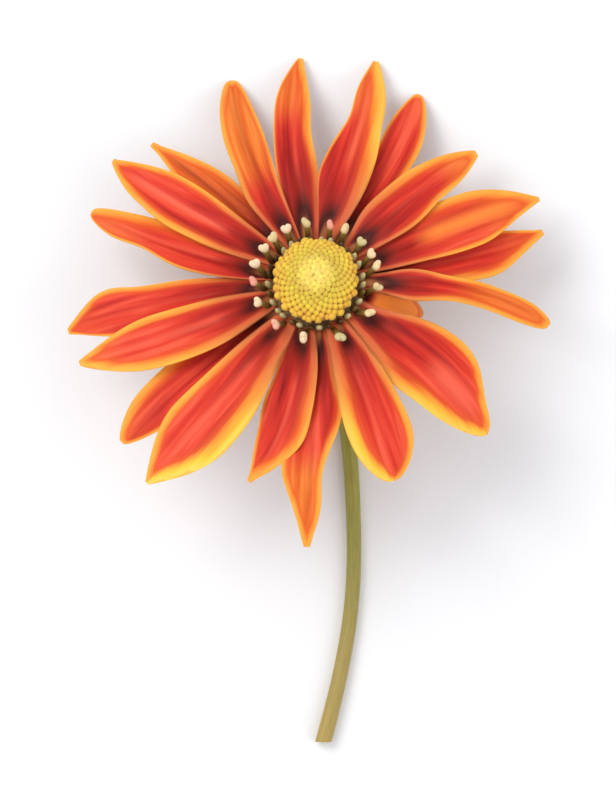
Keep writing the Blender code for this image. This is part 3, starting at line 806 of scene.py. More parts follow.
@dataclass
class RayFlorets:
    """The ring of petals and the flesh that carries them."""

    head: Head
    root_radius: float = 6.4 * MM
    root_half: float = 1.3 * MM  # half a petal's width at its root
    tip_half: float = 0.3 * MM  # the same at its tip
    bump_spread: float = 0.13  # share of the length
    wobble: float = 0.03  # of the margins, as a share of the half width
    wobble_rate: float = 11.0  # radians over the length
    root_depth: float = 0.15 * MM
    root_step: float = 0.3 * MM  # from one layer down to the next, at the root
    layer_step: float = 1.25 * MM  # the same further out
    layers_apart: float = 0.28  # share of the length, where they are fully apart
    arch: float = 2.2 * MM  # how far a petal rises from its root
    arch_end: float = 0.36  # share of the length, where it stops rising
    channel: float = 0.4 * MM  # how far the margins stand over the midline
    droop_power: float = 2.6
    twisted: Span = (0.2, 0.65)  # shares of the length, as in the next
    relief_from: Span = (0.08, 0.33)
    midrib: float = 0.2 * MM  # depth of the groove along the middle
    midrib_width: float = 0.5 * MM
    midrib_fades: float = 0.2  # share of the length, before the tip
    pleat: float = 0.24 * MM
    ripple: float = 0.2 * MM
    ripples: Span = (3.0, 5.0)  # waves along a margin
    phases: Span = (0.0, 6.3)  # radians, about a full turn
    cells_along: int = 54
    cells_across: int = 20
    crowding: float = 1.3  # of the cells towards the tip
    thickness: float = 0.5 * MM
    thin_share: float = 0.4  # of the thickness, left at the margins
    receptacle: tuple = ((0, 0.1), (6.9, 0.1), (7.6, -0.3), (8.2, -0.9), (8.3, -1.4), (0, -1.4))
    streaks_apart: float = 3.7  # so that no two petals have the same streaks
    foot_margin: float = 0.7  # width of a margin near the disc, as a share of its full width
    margin_widens: Span = (9.0, 22.0)  # this and the next are in mm from the disc's middle
    brightens: Span = (10.0, 32.0)
    bright: Span = (0.32, 0.44)  # brightness near the disc, and what is added further out
    half_shade: float = 0.12  # how much darker the painted shade makes a petal's shaded half
    heat_over: float = 7.0  # mm in which the red warms to orange
    blotch_from: float = 8.0  # where the dark foot starts, and then its length
    blotch_length: float = 7.5
    blotch_shift: float = 0.22  # for its streaky end
    blotch_notch: float = 0.7  # how much shorter it is at the margins
    line_over: Span = (6.0, 8.0)  # mm in which the middle line starts and ends
    gold_margins: Span = (1.4, 2.2)  # widths in mm from which a margin turns yellow
    gold_from: Span = (18.0, 28.0)

    def angle(self, petal: Petal, along: float) -> float:
        """Direction of a petal's midline at a share of its length, in radians."""
        return math.radians(through(petal.root, petal.middle, petal.tip, along))

    def midline(self, petal: Petal, along: float) -> Vector:
        """Finds a point of a petal's midline.

        Args:
            petal: the petal.
            along: share of its length.

        Returns:
            The point, as seen from above.
        """
        radius = self.root_radius + (petal.reach * MM - self.root_radius) * along
        angle = self.angle(petal, along)
        return Vector((radius * math.cos(angle), radius * math.sin(angle)))

    def half_width(self, petal: Petal, along: float, side: float, waves: Sequence[float]) -> float:
        """Half a petal's width on one side of its midline.

        Args:
            petal: the petal.
            along: share of its length.
            side: from -1 on the clockwise margin to 1 on the other.
            waves: lengths and phases of the waves of its two margins.

        Returns:
            The distance from the midline to the margin, in metres.
        """
        full = petal.width * MM / 2
        if along < petal.widest:
            swell = math.sin(math.pi / 2 * along / petal.widest)
            half = self.root_half + (full - self.root_half) * swell
        else:
            left = (along - petal.widest) / (1 - petal.widest)
            half = self.tip_half + (full - self.tip_half) * math.cos(math.pi / 2 * left) ** petal.point
        half *= 1 + petal.lean * side
        for bump in petal.bumps:
            if bump.side * side > 0:
                half += bump.size * MM * math.exp(-((along - bump.along) / self.bump_spread) ** 2)
        phase = waves[1] if side > 0 else waves[3]
        half *= 1 + self.wobble * math.sin(self.wobble_rate * along + phase)
        return max(half, self.tip_half)

    def lift(self, petal: Petal, along: float, side: float, half_width: float) -> float:
        """Height of a petal's face over the tilted plane, as in the CAD model.

        Args:
            petal: the petal.
            along: share of its length.
            side: from -1 on the clockwise margin to 1 on the other.
            half_width: half its width there.

        Returns:
            The height in metres.
        """
        behind = self.root_step + (self.layer_step - self.root_step) * ease(along / self.layers_apart)
        lift = self.arch * ease(along / self.arch_end) - self.root_depth - petal.layer * behind
        lift += self.channel * side * side * ease(along / self.arch_end) * (1 - along)
        slope = petal.twist * between(self.twisted, along)
        return lift + slope * side * half_width - petal.droop * MM * along ** self.droop_power

    def relief(self, along: float, side: float, half_width: float, waves: Sequence[float]) -> float:
        """The small folds of a petal's face: a groove along its middle, two pleats, wavy margins.

        Args:
            along: share of its length.
            side: from -1 on the clockwise margin to 1 on the other.
            half_width: half its width there.
            waves: lengths and phases of the waves of its two margins.

        Returns:
            The height that the folds add, in metres.
        """
        groove = -self.midrib * math.exp(-((side * half_width / self.midrib_width) ** 2))
        groove *= ease((1 - along) / self.midrib_fades)
        pleats = self.pleat * (1 - math.cos(2 * math.pi * side)) / 2
        length, phase = waves[:2] if side > 0 else waves[2:]
        ripple = self.ripple * abs(side) ** 3 * math.sin(2 * math.pi * along * length + phase)
        return between(self.relief_from, along) * (groove + pleats * (1 - along ** 4) + ripple)

    def paint(
        self, petal: Petal, number: int, along: float, side: float, waves: Sequence[float]
    ) -> dict[str, tuple[float, float, float]]:
        """Works out what the finishes read at one point of a petal.

        Args:
            petal: the petal.
            number: its place in the ring, from 1.
            along: share of its length.
            side: from -1 on the clockwise margin to 1 on the other.
            waves: lengths and phases of the waves of its two margins.

        Returns:
            By name, the place in mm, the distances inside the three margins in widths of each, the
            heat, brightness with the painted shade of one half, and place on the dark foot, the
            strengths and width of the middle line, and how yellow the margin and how orange the pale line
            is.
        """
        reach = self.root_radius / MM + (petal.reach - self.root_radius / MM) * along
        across = side * self.half_width(petal, along, side, waves) / MM
        grow = self.foot_margin + (1 - self.foot_margin) * between(self.margin_widens, reach)
        from_left = self.half_width(petal, along, 1, waves) / MM - across
        from_right = self.half_width(petal, along, -1, waves) / MM + across
        bright = self.bright[0] + self.bright[1] * between(self.brightens, reach)
        # painted shade: one half of the petal darker, as if turned from the light
        bright += petal.tone - self.half_shade * petal.shade * side
        foot = (reach - self.blotch_from) / (self.blotch_length * petal.blotch)
        line = ease((reach - petal.line_from) / self.line_over[0])
        line *= ease((petal.reach - reach) / self.line_over[1])
        broad = between(self.gold_margins, petal.left if side > 0 else petal.right)
        return {
            "place": (reach, across, number * self.streaks_apart),
            "margin": (
                from_left / (petal.left * grow),
                from_right / (petal.right * grow),
                (petal.reach - reach) / petal.end,
            ),
            "tint": (
                petal.heat * ease((reach - petal.heat_from) / self.heat_over),
                bright - PetalFace.streak_share / 2,
                foot - self.blotch_shift + self.blotch_notch * side * side,
            ),
            "line": (max(petal.line, 0) * line, max(-petal.line, 0) * line, petal.line_width),
            "gold": (petal.gold * broad * between(self.gold_from, reach), petal.glow, 0),
        }

    def shape_face(self, petal: Petal, number: int) -> bpy.types.Mesh:
        """Makes a petal's upper face: a shaped grid that carries what its finishes read.

        Args:
            petal: the petal.
            number: its place in the ring, from 1.

        Returns:
            The face's mesh, whose vertex group 0 is strongest where the petal is thickest.
        """
        draw = random.Random(SEED + number)
        waves = [draw.uniform(*span) for span in (self.ripples, self.phases) * 2]
        shape = bmesh.new()
        bmesh.ops.create_grid(shape, x_segments=self.cells_along, y_segments=self.cells_across, size=1)
        layers = {
            name: shape.verts.layers.float_vector.new(f"petal_{name}")
            for name in ("place", "margin", "tint", "line", "gold")
        }
        weight = shape.verts.layers.deform.verify()
        step = 0.01
        for vertex in shape.verts:
            share, side = (vertex.co.x + 1) / 2, vertex.co.y
            along = 1 - (1 - share) ** self.crowding
            heading = self.midline(petal, along + step) - self.midline(petal, along - step)
            heading.normalize()
            half = self.half_width(petal, along, side, waves)
            spot = self.midline(petal, along) + Vector((-heading.y, heading.x)) * half * side
            height = self.head.height_at(spot.y) + self.lift(petal, along, side, half)
            height += self.relief(along, side, half, waves)
            vertex.co = (self.head.middle_x + spot.x, self.head.middle_y + spot.y, height)
            for name, values in self.paint(petal, number, along, side, waves).items():
                vertex[layers[name]] = values
            vertex[weight][0] = 1 - max(abs(side) ** 3, along ** 8)
        return mesh_of(shape, "petal_face")

    def thicken(
        self, face: bpy.types.Mesh, name: str, finishes: Sequence[bpy.types.Material]
    ) -> bpy.types.Mesh:
        """Gives a petal's face its thickness and its back.

        Args:
            face: the mesh of the face.
            name: the petal's name.
            finishes: the finishes of the face and the back.

        Returns:
            The closed mesh, with its finishes.
        """
        for finish in finishes:
            face.materials.append(finish)
        blade = bpy.data.objects.new("blade", face)
        bpy.context.scene.collection.objects.link(blade)
        blade.vertex_groups.new(name="body")
        wall = blade.modifiers.new("thickness", "SOLIDIFY")
        wall.thickness = self.thickness
        wall.offset = -1
        wall.vertex_group = "body"
        wall.thickness_vertex_group = self.thin_share
        wall.material_offset = 1
        bpy.context.view_layer.update()
        mesh = bpy.data.meshes.new_from_object(
            blade.evaluated_get(bpy.context.evaluated_depsgraph_get())
        )
        bpy.data.objects.remove(blade, do_unlink=True)
        mesh.name = name
        mesh.set_sharp_from_angle(angle=SHARP)
        return mesh

    def build(self) -> None:
        """Makes the receptacle and every petal."""
        outline = [(radius * MM, height * MM) for radius, height in self.receptacle]
        plate = turned(outline, 64, "receptacle")
        plate.transform(self.head.matrix())
        add_piece("receptacle", plate, Part.PETALS, [ReceptacleSkin().build()])
        finishes = [PetalFace().build(), PetalBack().build()]
        for number, petal in enumerate(PETALS, start=1):
            mesh = self.thicken(self.shape_face(petal, number), f"ray_floret_{number:02d}", finishes)
            add_piece(mesh.name, mesh, Part.PETALS, [])


@dataclass
class OpenFlorets:
    """The ring of open florets round the disc, with small ones between them, whose darker tones are
    painted shade.
    """

    head: Head
    turns: tuple = (12, 25, 41, 61, 75, 98, 119, 134, 149, 167, 184, 205, 232, 259, 291, 325, 352)
    radius: float = 8.6 * MM
    foot: float = -0.4 * MM
    lean: float = math.radians(28)
    lean_swing: float = math.radians(8)
    outline: tuple = (
        (0.0, 5.0), (0.22, 4.98), (0.42, 4.9), (0.6, 4.7), (0.7, 4.4), (0.7, 4.05), (0.62, 3.7),
        (0.5, 3.4), (0.46, 3.0), (0.44, 2.2), (0.46, 1.4), (0.5, 0.6), (0.5, 0.0), (0.0, 0.0),
    )
    sizes: Span = (1.02, 1.22)
    bows: Span = (0.1, 0.45)  # how far a tip bends over, in mm
    tip_from: Span = (0.6, 0.9)  # share of the height, over which the two lobes part
    lobe: float = 0.28  # how far they stand apart
    notch: float = 0.35 * MM
    notch_from: Span = (0.75, 1.0)
    small_count: int = 30
    small_radius: float = 7.95 * MM
    small_height: float = 0.5 * MM
    small_lean: float = math.radians(24)
    small_half: Span = (0.5 * MM, 0.6 * MM)
    small_lengths: Span = (1.2, 1.7)
    # tones from the tube's ramp: the darker ones are painted shade, as of lobes lying in shade between the
    # tubes
    small_shades: tuple = (0.1, 0.4, 0.8, 1.0)

    def place(self, turn: float, radius: float, height: float, lean: float) -> Matrix:
        """Finds the place of a floret of the ring.

        Args:
            turn: its direction from the disc's middle.
            radius: its distance.
            height: its foot over the head's plane.
            lean: how far it leans outwards.

        Returns:
            The matrix that stands an upright floret there.
        """
        spot = Matrix.Translation((radius * math.cos(turn), radius * math.sin(turn), height))
        return spot @ Matrix.Rotation(turn, 4, "Z") @ Matrix.Rotation(lean, 4, "Y")

    def add_open(
        self, shape: bmesh.types.BMesh, tube: bpy.types.Mesh, turn: float, draw: random.Random
    ) -> None:
        """Adds one open floret: a bowed tube whose tip parts in two lobes.

        Args:
            shape: the ring's bmesh.
            tube: a straight floret.
            turn: its direction from the disc's middle.
            draw: the source of chance.
        """
        tone = shape.verts.layers.float_vector["floret_tone"]
        hue, size, spin = draw.random(), draw.uniform(*self.sizes), draw.uniform(0, math.pi)
        bend, bow = draw.uniform(0, 2 * math.pi), draw.uniform(*self.bows) * MM
        verts = add_copy(shape, tube)
        for vertex in verts:
            share = vertex.co.z / (self.outline[0][1] * MM)
            vertex[tone] = (share, hue, 0)
            tip = between(self.tip_from, share)
            parted = math.cos(2 * (math.atan2(vertex.co.y, vertex.co.x) + spin))
            lobes = 1 + self.lobe * tip * parted
            dip = self.notch * tip * (1 - parted) / 2 * between(self.notch_from, share)
            if vertex.co.xy.length < MERGE:
                dip = self.notch * 0.8 * tip
            swerve = Vector((math.cos(bend), math.sin(bend), 0)) * bow * share * share
            vertex.co = Vector((vertex.co.x * lobes, vertex.co.y * lobes, vertex.co.z - dip))
            vertex.co += swerve
        lean = self.lean - self.lean_swing * math.sin(turn)
        place = self.place(turn, self.radius, self.foot, lean)
        bmesh.ops.transform(shape, matrix=place @ Matrix.Scale(size, 4), verts=verts)

    def add_small(self, shape: bmesh.types.BMesh, number: int, draw: random.Random) -> None:
        """Adds one small floret, whose darker tones are painted shade.

        Args:
            shape: the ring's bmesh.
            number: its place in the ring.
            draw: the source of chance.
        """
        tone = shape.verts.layers.float_vector["floret_tone"]
        turn = 2 * math.pi * (number + draw.uniform(-0.2, 0.2)) / self.small_count
        place = self.place(turn, self.small_radius, self.small_height, self.small_lean)
        size = Matrix.Diagonal((*self.small_half, draw.uniform(*self.small_lengths) * MM, 1))
        # a dark pick paints the shade between the tubes onto this floret
        shade = draw.choice(self.small_shades)
        bud = bmesh.ops.create_icosphere(shape, subdivisions=2, radius=1, matrix=place @ size)
        for vertex in bud["verts"]:
            vertex[tone] = (shade, 0, 0)

    def build(self) -> None:
        """Makes the florets as one piece."""
        draw = random.Random(SEED)
        tube = turned([(radius * MM, height * MM) for radius, height in self.outline], 16, "tube")
        shape = bmesh.new()
        shape.verts.layers.float_vector.new("floret_tone")
        for degrees in self.turns:
            self.add_open(shape, tube, math.radians(degrees), draw)
        for number in range(self.small_count):
            self.add_small(shape, number, draw)
        bmesh.ops.transform(shape, matrix=self.head.matrix(), verts=shape.verts)
        mesh = mesh_of(shape, "open_floret_ring")
        add_piece("open_floret_ring", mesh, Part.OPEN, [OpenFloretSkin().build()])


@dataclass
class DiscFlorets:
    """The dome of closed florets, packed in spirals, with larger ones round its rim."""

    head: Head
    foot: float = 1.5 * MM
    radius: float = 7.1 * MM
    longer: float = 1.06  # how much longer than wide the dome is, along the head's tilt
    height: float = 3.5 * MM
    button_radius: float = 3.4 * MM  # of the pale button in the middle
    button_height: float = 0.45 * MM
    button_edge: float = 1.2 * MM
    core_radius: float = 0.96  # of the dome's radius
    core_depth: float = 0.12 * MM
    core_tone: tuple = (-0.3, 0.5)  # what the finish reads there: low on a floret, of middle hue
    buds: int = 230
    bud_half: float = 0.55 * MM
    bud_lengths: Span = (0.75, 1.15)
    button_swell: Span = (0.6, 0.55)  # height of a button's floret, and what is added outside it
    swell_from: Span = (2.8 * MM, 4.4 * MM)
    rim_buds: int = 21
    rim_radius: float = 6.55 * MM
    rim_lean: float = math.radians(64)
    lean_share: float = 0.9  # of the surface's slope
    lobe: float = 0.14
    lobes: int = 5

    def dome(self, radius: float) -> tuple[float, float]:
        """Height and slope of the dome at a distance from its middle.

        Args:
            radius: the distance, in metres.

        Returns:
            The height over the plane, and the angle that the surface leans outwards.
        """
        share = min(radius / self.radius, 0.985)
        bulge = math.sqrt(1 - share * share)
        button = self.button_height * ease((self.button_radius - radius) / self.button_edge + 0.5)
        slope = math.atan(self.height * share / (self.radius * bulge))
        return self.foot + self.height * bulge + button, slope

    def shape_core(self, rings: int = 24) -> bpy.types.Mesh:
        """Makes the flesh that fills the gaps between the florets.

        Args:
            rings: how many rings of faces lead from the middle to the edge.

        Returns:
            The core's mesh, just under the florets' tops.
        """
        outline = []
        for step in range(rings + 1):
            radius = self.core_radius * self.radius * math.sin(math.pi / 2 * step / rings)
            outline.append((radius, self.dome(radius)[0] - self.core_depth))
        return turned([*outline, (outline[-1][0], self.foot), (0.0, self.foot)], 64, "disc_core")

    def add_bud(self, shape: bmesh.types.BMesh, number: int, draw: random.Random) -> None:
        """Adds one closed floret: a small dome with five faint lobes.

        Args:
            shape: the dome's bmesh.
            number: its place in the spiral or, past the spiral's last, in the rim.
            draw: the source of chance.
        """
        tone = shape.verts.layers.float_vector["bud_tone"]
        if number >= self.buds:
            radius = self.rim_radius
            turn = 2 * math.pi * (number + draw.uniform(-0.2, 0.2)) / self.rim_buds
            size = Vector((0.8, draw.uniform(0.75, 0.95), draw.uniform(0.8, 1.25))) * MM
            height, slope = self.foot + draw.uniform(0.5, 0.9) * MM, self.rim_lean
        else:
            radius = self.radius * self.core_radius * math.sqrt((number + 0.5) / self.buds)
            turn = number * GOLDEN_ANGLE
            height, slope = self.dome(radius)
            swell = self.button_swell[0] + self.button_swell[1] * between(self.swell_from, radius)
            size = Vector((1, 1, draw.uniform(*self.bud_lengths) * swell)) * self.bud_half
        place = Matrix.Translation((radius * math.cos(turn), radius * math.sin(turn), height))
        turned_out = Matrix.Rotation(turn, 4, "Z") @ Matrix.Rotation(slope * self.lean_share, 4, "Y")
        spin, hue = draw.uniform(0, math.pi), draw.random()
        bud = bmesh.ops.create_icosphere(shape, subdivisions=2, radius=1)["verts"]
        for vertex in bud:
            vertex[tone] = (radius / self.radius, vertex.co.z, hue)
            angle = math.atan2(vertex.co.y, vertex.co.x)
            swell = 1 + self.lobe * math.cos(self.lobes * angle + spin)
            vertex.co = Vector((vertex.co.x * swell, vertex.co.y * swell, vertex.co.z))
        shift = place @ turned_out @ Matrix.Diagonal((*size, 1))
        bmesh.ops.transform(shape, matrix=shift, verts=bud)

    def build(self) -> None:
        """Makes the dome and its florets as one piece."""
        draw = random.Random(SEED)
        shape = bmesh.new()
        tone = shape.verts.layers.float_vector.new("bud_tone")
        for vertex in add_copy(shape, self.shape_core()):
            vertex[tone] = (min(vertex.co.xy.length / self.radius, 1), *self.core_tone)
        for number in range(self.buds + self.rim_buds):
            self.add_bud(shape, number, draw)
        longer = Matrix.Scale(self.longer, 4, (0, 1, 0))
        bmesh.ops.transform(shape, matrix=self.head.matrix() @ longer, verts=shape.verts)
        mesh = mesh_of(shape, "disc_floret_dome", math.radians(80))
        add_piece("disc_floret_dome", mesh, Part.DISC, [BudSkin().build()])


@dataclass(frozen=True)
class BractRow:
    """One row of pointed bract tips, in mm, with depths below the cup's rim."""

    count: int
    turn: float  # of a step, so that the rows alternate
    root: tuple[float, float]  # radius and depth
    bend: tuple[float, float]
    tip: tuple[float, float]
    half_width: float


@dataclass
class Involucre:
    """The green cup under the head, with its free bract tips."""

    head: Head
    rim: float = -1.7 * MM
    outline: tuple = (
        (0.0, 8.2), (1.0, 7.9), (3.0, 7.4), (5.2, 7.1), (7.2, 6.4), (9.0, 5.0), (10.4, 3.3), (11.6, 2.1),
    )
    ribs: int = 16
    rib_height: float = 0.3 * MM
    steps: int = 128
    rows: tuple = (
        BractRow(18, 0.0, (7.0, 1.9), (9.2, 1.5), (10.9, 1.0), 1.0),
        BractRow(16, 0.5, (6.6, 5.2), (8.1, 4.0), (9.4, 2.6), 0.9),
    )
    third_rib: float = 0.25  # of the finer ribs, as a share of the others
    smooth_top: float = 0.3 * MM  # where the ribs start, outside the foot's radius
    around: float = 9.0  # mm from the axis, where the finish measures round the cup
    shade_of_cup: float = 0.2  # what the finish reads there: far from a bract's dry tip
    bract_thickness: float = 0.55 * MM
    bract_tip: float = 0.05  # half its width at its tip, in mm
    bract_longer: Span = (0.9, 1.05)
    keel: float = 0.1  # mm, along the middle of a bract
    bract_cells: tuple[int, int] = (10, 4)
    bract_across: float = 1.3  # what the finish reads at a bract's margin

    def shape_cup(self) -> bpy.types.Mesh:
        """Makes the ribbed cup.

        Returns:
            The cup's mesh, in place.
        """
        smooth = []
        for (depth, radius), (next_depth, next_radius) in zip(self.outline, self.outline[1:]):
            for step in (0.0, 0.5):
                smooth.append((
                    (radius + (next_radius - radius) * step) * MM,
                    self.rim - (depth + (next_depth - depth) * step) * MM,
                ))
        foot_depth, foot_radius = (measure * MM for measure in self.outline[-1])
        foot = self.rim - foot_depth
        smooth.append((foot_radius, foot))
        cup = turned([(0.0, self.rim), *smooth, (0.0, foot)], self.steps, "cup")
        shape = bmesh.new()
        tone = shape.verts.layers.float_vector.new("cup_tone")
        for vertex in add_copy(shape, cup):
            flat = Vector((vertex.co.x, vertex.co.y, 0))
            turn = math.atan2(flat.y, flat.x)
            vertex[tone] = (
                self.shade_of_cup, self.around * math.cos(turn), self.around * math.sin(turn)
            )
            if flat.length > foot_radius + self.smooth_top:
                rib = math.cos(self.ribs * turn) + self.third_rib * math.cos(3 * self.ribs * turn)
                vertex.co += flat.normalized() * self.rib_height * rib
        bmesh.ops.transform(shape, matrix=self.head.matrix(), verts=shape.verts)
        return mesh_of(shape, "cup")

    def add_bract(
        self, shape: bmesh.types.BMesh, row: BractRow, turn: float, draw: random.Random
    ) -> None:
        """Adds the free tip of one bract: a keeled blade that bends outwards to a point.

        Args:
            shape: the bmesh of all the tips.
            row: the row that it stands in.
            turn: its direction.
            draw: the source of chance.
        """
        tone = shape.verts.layers.float_vector["cup_tone"]
        longer, seed = draw.uniform(*self.bract_longer), draw.uniform(0, 9)
        cells_along, cells_across = self.bract_cells
        blade = bmesh.ops.create_grid(
            shape, x_segments=cells_along, y_segments=cells_across, size=1
        )["verts"]
        for vertex in blade:
            share, side = (vertex.co.x + 1) / 2, vertex.co.y
            radius = through(row.root[0], row.bend[0], row.tip[0], share * longer)
            depth = through(row.root[1], row.bend[1], row.tip[1], share * longer)
            half = row.half_width * (1 - share ** 2.2) ** 0.8 + self.bract_tip
            keel = self.keel * (1 - side * side) * (1 - share)
            vertex[tone] = (share, self.bract_across * side, seed)
            vertex.co = Vector((radius, side * half, keel - depth)) * MM
            vertex.co.z += self.rim
        faces = list(dict.fromkeys(face for vertex in blade for face in vertex.link_faces))
        wall = bmesh.ops.solidify(shape, geom=faces, thickness=-self.bract_thickness)["geom"]
        walls = (item for item in wall if isinstance(item, bmesh.types.BMVert))
        verts = list(dict.fromkeys([*blade, *walls]))
        bmesh.ops.rotate(shape, cent=(0, 0, 0), matrix=Matrix.Rotation(turn, 3, "Z"), verts=verts)

    def shape_bracts(self) -> bpy.types.Mesh:
        """Makes the free tips of the bracts.

        Returns:
            The mesh of both rows, in place.
        """
        draw = random.Random(SEED)
        shape = bmesh.new()
        shape.verts.layers.float_vector.new("cup_tone")
        for row in self.rows:
            for number in range(row.count):
                self.add_bract(shape, row, 2 * math.pi * (number + row.turn) / row.count, draw)
        bmesh.ops.recalc_face_normals(shape, faces=shape.faces)
        bmesh.ops.transform(shape, matrix=self.head.matrix(), verts=shape.verts)
        return mesh_of(shape, "bract_tips")

    def build(self) -> None:
        """Makes the cup and its bract tips."""
        finish = CupSkin().build()
        add_piece("cup", self.shape_cup(), Part.CUP, [finish])
        add_piece("bract_tips", self.shape_bracts(), Part.CUP, [finish])


@dataclass(frozen=True)
class Station:
    """One point of the stem, in mm from the point of the floor under the middle of the disc."""

    x: float
    y: float
    clear: float  # height of the stem's underside over the floor
    radius: float


@dataclass
class Stem:
    """The bare stalk, from the cup's foot down to the floor and along it to the cut end."""

    head: Head
    stations: tuple = (
        Station(5.5, -25.7, 0.0, 1.4), Station(6.6, -41.9, 0.0, 1.3), Station(6.3, -54.9, 0.0, 1.3),
        Station(4.5, -66.8, 0.0, 1.35), Station(1.2, -80.3, 0.0, 1.45), Station(-1.6, -90.0, 0.0, 1.5),
    )
    neck_radius: float = 1.55
    neck_steps: int = 3
    neck_drift: float = 2.9
    below: float = 13.6 * MM  # from the plane down to the top of the stem
    round_share: float = 0.96  # of the CAD stem's radius, which is measured to its corners
    points_a_station: int = 6
    sides: int = 28
    ridges: int = 9
    ridge_height: float = 0.035
    cut_slant: float = math.radians(14)
    cut_back: float = 0.6 * MM
    rind: float = 0.28 * MM
    pith_depth: float = 0.12 * MM
    around: float = 2.0  # mm from the axis, where the finish measures round the stem

    def neck(self) -> list[Station]:
        """Works out the bend that leads from the cup's foot down to the floor.

        Returns:
            The stations of the bend, of which the first only steers the curve.
        """
        tilt = self.head.tilt
        start_y = (-self.head.back - self.below * math.sin(tilt)) / MM
        start_height = (self.head.height - self.below * math.cos(tilt)) / MM
        flat_radius = self.neck_radius * math.cos(math.pi / 8)  # the CAD stem has eight sides
        bend = (start_height - flat_radius) / (1 - math.sin(tilt))
        lead_clear = start_height - flat_radius + bend * math.cos(tilt)
        stations = [Station(0.0, start_y + bend * math.sin(tilt), lead_clear, self.neck_radius)]
        for step in range(self.neck_steps + 1):
            share = step / self.neck_steps
            turn = tilt + (math.pi / 2 - tilt) * share
            y = start_y - bend * (math.cos(tilt) - math.cos(turn))
            clear = bend * (1 - math.sin(turn))
            stations.append(Station(self.neck_drift * share ** 2, y, clear, self.neck_radius))
        return stations

    def route(self) -> list[tuple[Vector, float]]:
        """Follows the stations on a smooth curve.

        Returns:
            The centre and radius of each ring of the stem, in metres and in place.
        """
        stations = [*self.neck(), *self.stations]
        offset = Vector((self.head.middle_x, self.head.middle_y, 0))
        made = []
        for start in range(len(stations) - 3):
            last = start == len(stations) - 4
            for step in range(self.points_a_station + last):
                share = step / self.points_a_station
                square, cube = share * share, share ** 3
                weights = (
                    (-share + 2 * square - cube) / 2, (2 - 5 * square + 3 * cube) / 2,
                    (share + 4 * square - 3 * cube) / 2, (cube - square) / 2,
                )
                four = stations[start:start + 4]
                x, y, clear, radius = (
                    sum(weight * getattr(one, name) for weight, one in zip(weights, four))
                    for name in ("x", "y", "clear", "radius")
                )
                radius *= self.round_share
                height = max(clear, 0.0) + radius * (1 + self.ridge_height)
                made.append((offset + Vector((x, y, height)) * MM, radius * MM))
        return made

    def cut(self, shape: bmesh.types.BMesh, end: Vector, heading: Vector) -> None:
        """Cuts the lower end off at a slant and lays the pith bare.

        Args:
            shape: the stem's bmesh, closed at both ends.
            end: the middle of its lower end.
            heading: the direction in which the stem ends.
        """
        bmesh.ops.bisect_plane(
            shape, geom=[*shape.verts, *shape.edges, *shape.faces], dist=MERGE,
            plane_co=end - heading * self.cut_back,
            plane_no=Matrix.Rotation(self.cut_slant, 3, "Z") @ heading, clear_outer=True,
        )
        rim = [edge for edge in shape.edges if edge.is_boundary]
        pith = bmesh.ops.contextual_create(shape, geom=rim)["faces"]
        bmesh.ops.inset_region(shape, faces=pith, thickness=self.rind, depth=-self.pith_depth)
        for face in pith:
            face.material_index = 1

    def build(self) -> None:
        """Makes the stem: rings extruded along its route, and a slanted cut with its pith."""
        shape = bmesh.new()
        tone = shape.verts.layers.float_vector.new("stem_tone")
        route = self.route()
        ring = bmesh.ops.create_circle(shape, segments=self.sides, radius=1)["verts"]
        length = 0.0
        last, last_right, last_up = Vector(), Vector((1, 0, 0)), Vector((0, 1, 0))
        for number, (centre, radius) in enumerate(route):
            before, after = route[max(number - 1, 0)][0], route[min(number + 1, len(route) - 1)][0]
            heading = (after - before).normalized()
            right = (Vector((1, 0, 0)) - heading * heading.x).normalized()
            up = heading.cross(right)
            if number:
                edges = [edge for edge in shape.edges if edge.verts[0] in ring and edge.verts[1] in ring]
                made = bmesh.ops.extrude_edge_only(shape, edges=edges)["geom"]
                ring = [item for item in made if isinstance(item, bmesh.types.BMVert)]
                length += (centre - last).length
            for vertex in ring:
                offset = vertex.co - last
                turn = math.atan2(offset.dot(last_up), offset.dot(last_right))
                ridge = 1 + self.ridge_height * math.cos(self.ridges * turn)
                spoke = right * math.cos(turn) + up * math.sin(turn)
                vertex.co = centre + spoke * radius * ridge
                vertex[tone] = (
                    length / MM, self.around * math.cos(turn), self.around * math.sin(turn)
                )
            last, last_right, last_up = centre, right, up
        bmesh.ops.holes_fill(shape, edges=shape.edges, sides=0)
        self.cut(shape, last, heading)
        bmesh.ops.recalc_face_normals(shape, faces=shape.faces)
        mesh = mesh_of(shape, "stalk", math.radians(45))
        add_piece("stalk", mesh, Part.STEM, [StemSkin().build(), PithSkin().build()])


@dataclass(frozen=True)
class FloorPaper:
    """Matt white paper: evenly dull, with a grain that barely shows."""

    colour: str = "#fafaf8"
    grains: float = 0.9  # to a mm
    value: Span = (0.99, 1.01)

    def build(self) -> bpy.types.Material:
        """Makes the material.

        Returns:
            The material.
        """
        material, tree, shader = new_material("floor_matt_paper")
        place = add_node(tree, "TexCoord").outputs["Object"]
        grain = add_node(
            tree, "TexNoise", {"Vector": place, "Scale": self.grains / MM, "Detail": 2.0}
        ).outputs[0]
        value = add_node(tree, "MapRange", {0: grain, 3: self.value[0], 4: self.value[1]}).outputs[0]
        paper = add_node(
            tree, "HueSaturation", {"Value": value, "Color": linear(self.colour)}
        ).outputs[0]
        connect(tree, shader, {"Base Color": paper, "Roughness": 0.95, "Specular IOR Level": 0.1})
        return material


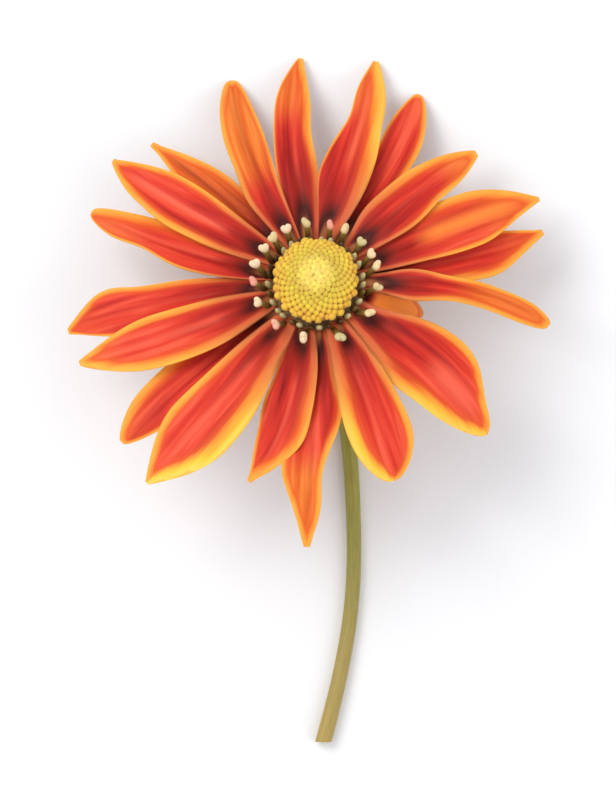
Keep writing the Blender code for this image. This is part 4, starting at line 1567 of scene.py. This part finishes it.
@dataclass
class Studio:
    """A white floor, soft light from the upper left, and the camera straight above."""

    floor_size: float = 3.0
    frame_height: float = 0.139  # what the picture's height covers on the floor
    lens: float = 300.0
    sensor: float = 36.0
    far: float = 20.0  # how far the camera sees
    sky_colour: str = "#f5f7ff"
    sky_strength: float = 0.75

    def floor(self) -> None:
        """Lays the floor."""
        shape = bmesh.new()
        bmesh.ops.create_grid(shape, x_segments=1, y_segments=1, size=self.floor_size / 2)
        mesh = mesh_of(shape, "floor")
        mesh.materials.append(FloorPaper().build())
        floor = bpy.data.objects.new("floor", mesh)
        bpy.context.scene.collection.objects.link(floor)

    def lamp(self, name: str, place: tuple[float, float, float], size: float, power: float) -> None:
        """Hangs a square soft lamp that faces the flower.

        Args:
            name: the lamp's name.
            place: where it hangs.
            size: its width.
            power: its power in watts.
        """
        light = bpy.data.lights.new(name, "AREA")
        light.size = size
        light.energy = power
        lamp = bpy.data.objects.new(name, light)
        lamp.location = place
        lamp.rotation_euler = (-Vector(place)).to_track_quat("-Z", "Y").to_euler()
        bpy.context.scene.collection.objects.link(lamp)

    def camera(self) -> None:
        """Hangs the camera straight above the flower, with +Y up the picture."""
        view = bpy.data.cameras.new("camera")
        view.lens = self.lens
        view.sensor_width = self.sensor
        view.clip_end = self.far
        camera = bpy.data.objects.new("camera", view)
        camera.location = (0, 0, self.frame_height * self.lens / self.sensor)
        bpy.context.scene.collection.objects.link(camera)
        bpy.context.scene.camera = camera

    def build(self) -> None:
        """Sets up the camera, the floor and the light."""
        scene = bpy.context.scene
        scene.view_settings.view_transform = "Standard"
        self.camera()
        self.floor()
        self.lamp("key", (-0.45, 0.35, 0.75), size=0.5, power=4.0)
        self.lamp("fill", (0.55, -0.25, 0.6), size=0.6, power=1.2)
        world = bpy.data.worlds.new("sky")
        world.use_nodes = True
        background = world.node_tree.nodes["Background"]
        connect(
            world.node_tree, background,
            {"Color": linear(self.sky_colour), "Strength": self.sky_strength},
        )
        scene.world = world


def main() -> None:
    """Builds the studio and the flower."""
    logging.basicConfig(level=logging.INFO, format="%(name)s %(message)s")
    head = Head()
    Studio().build()
    Stem(head).build()
    Involucre(head).build()
    RayFlorets(head).build()
    OpenFlorets(head).build()
    DiscFlorets(head).build()


if __name__ == "__main__":
    main()
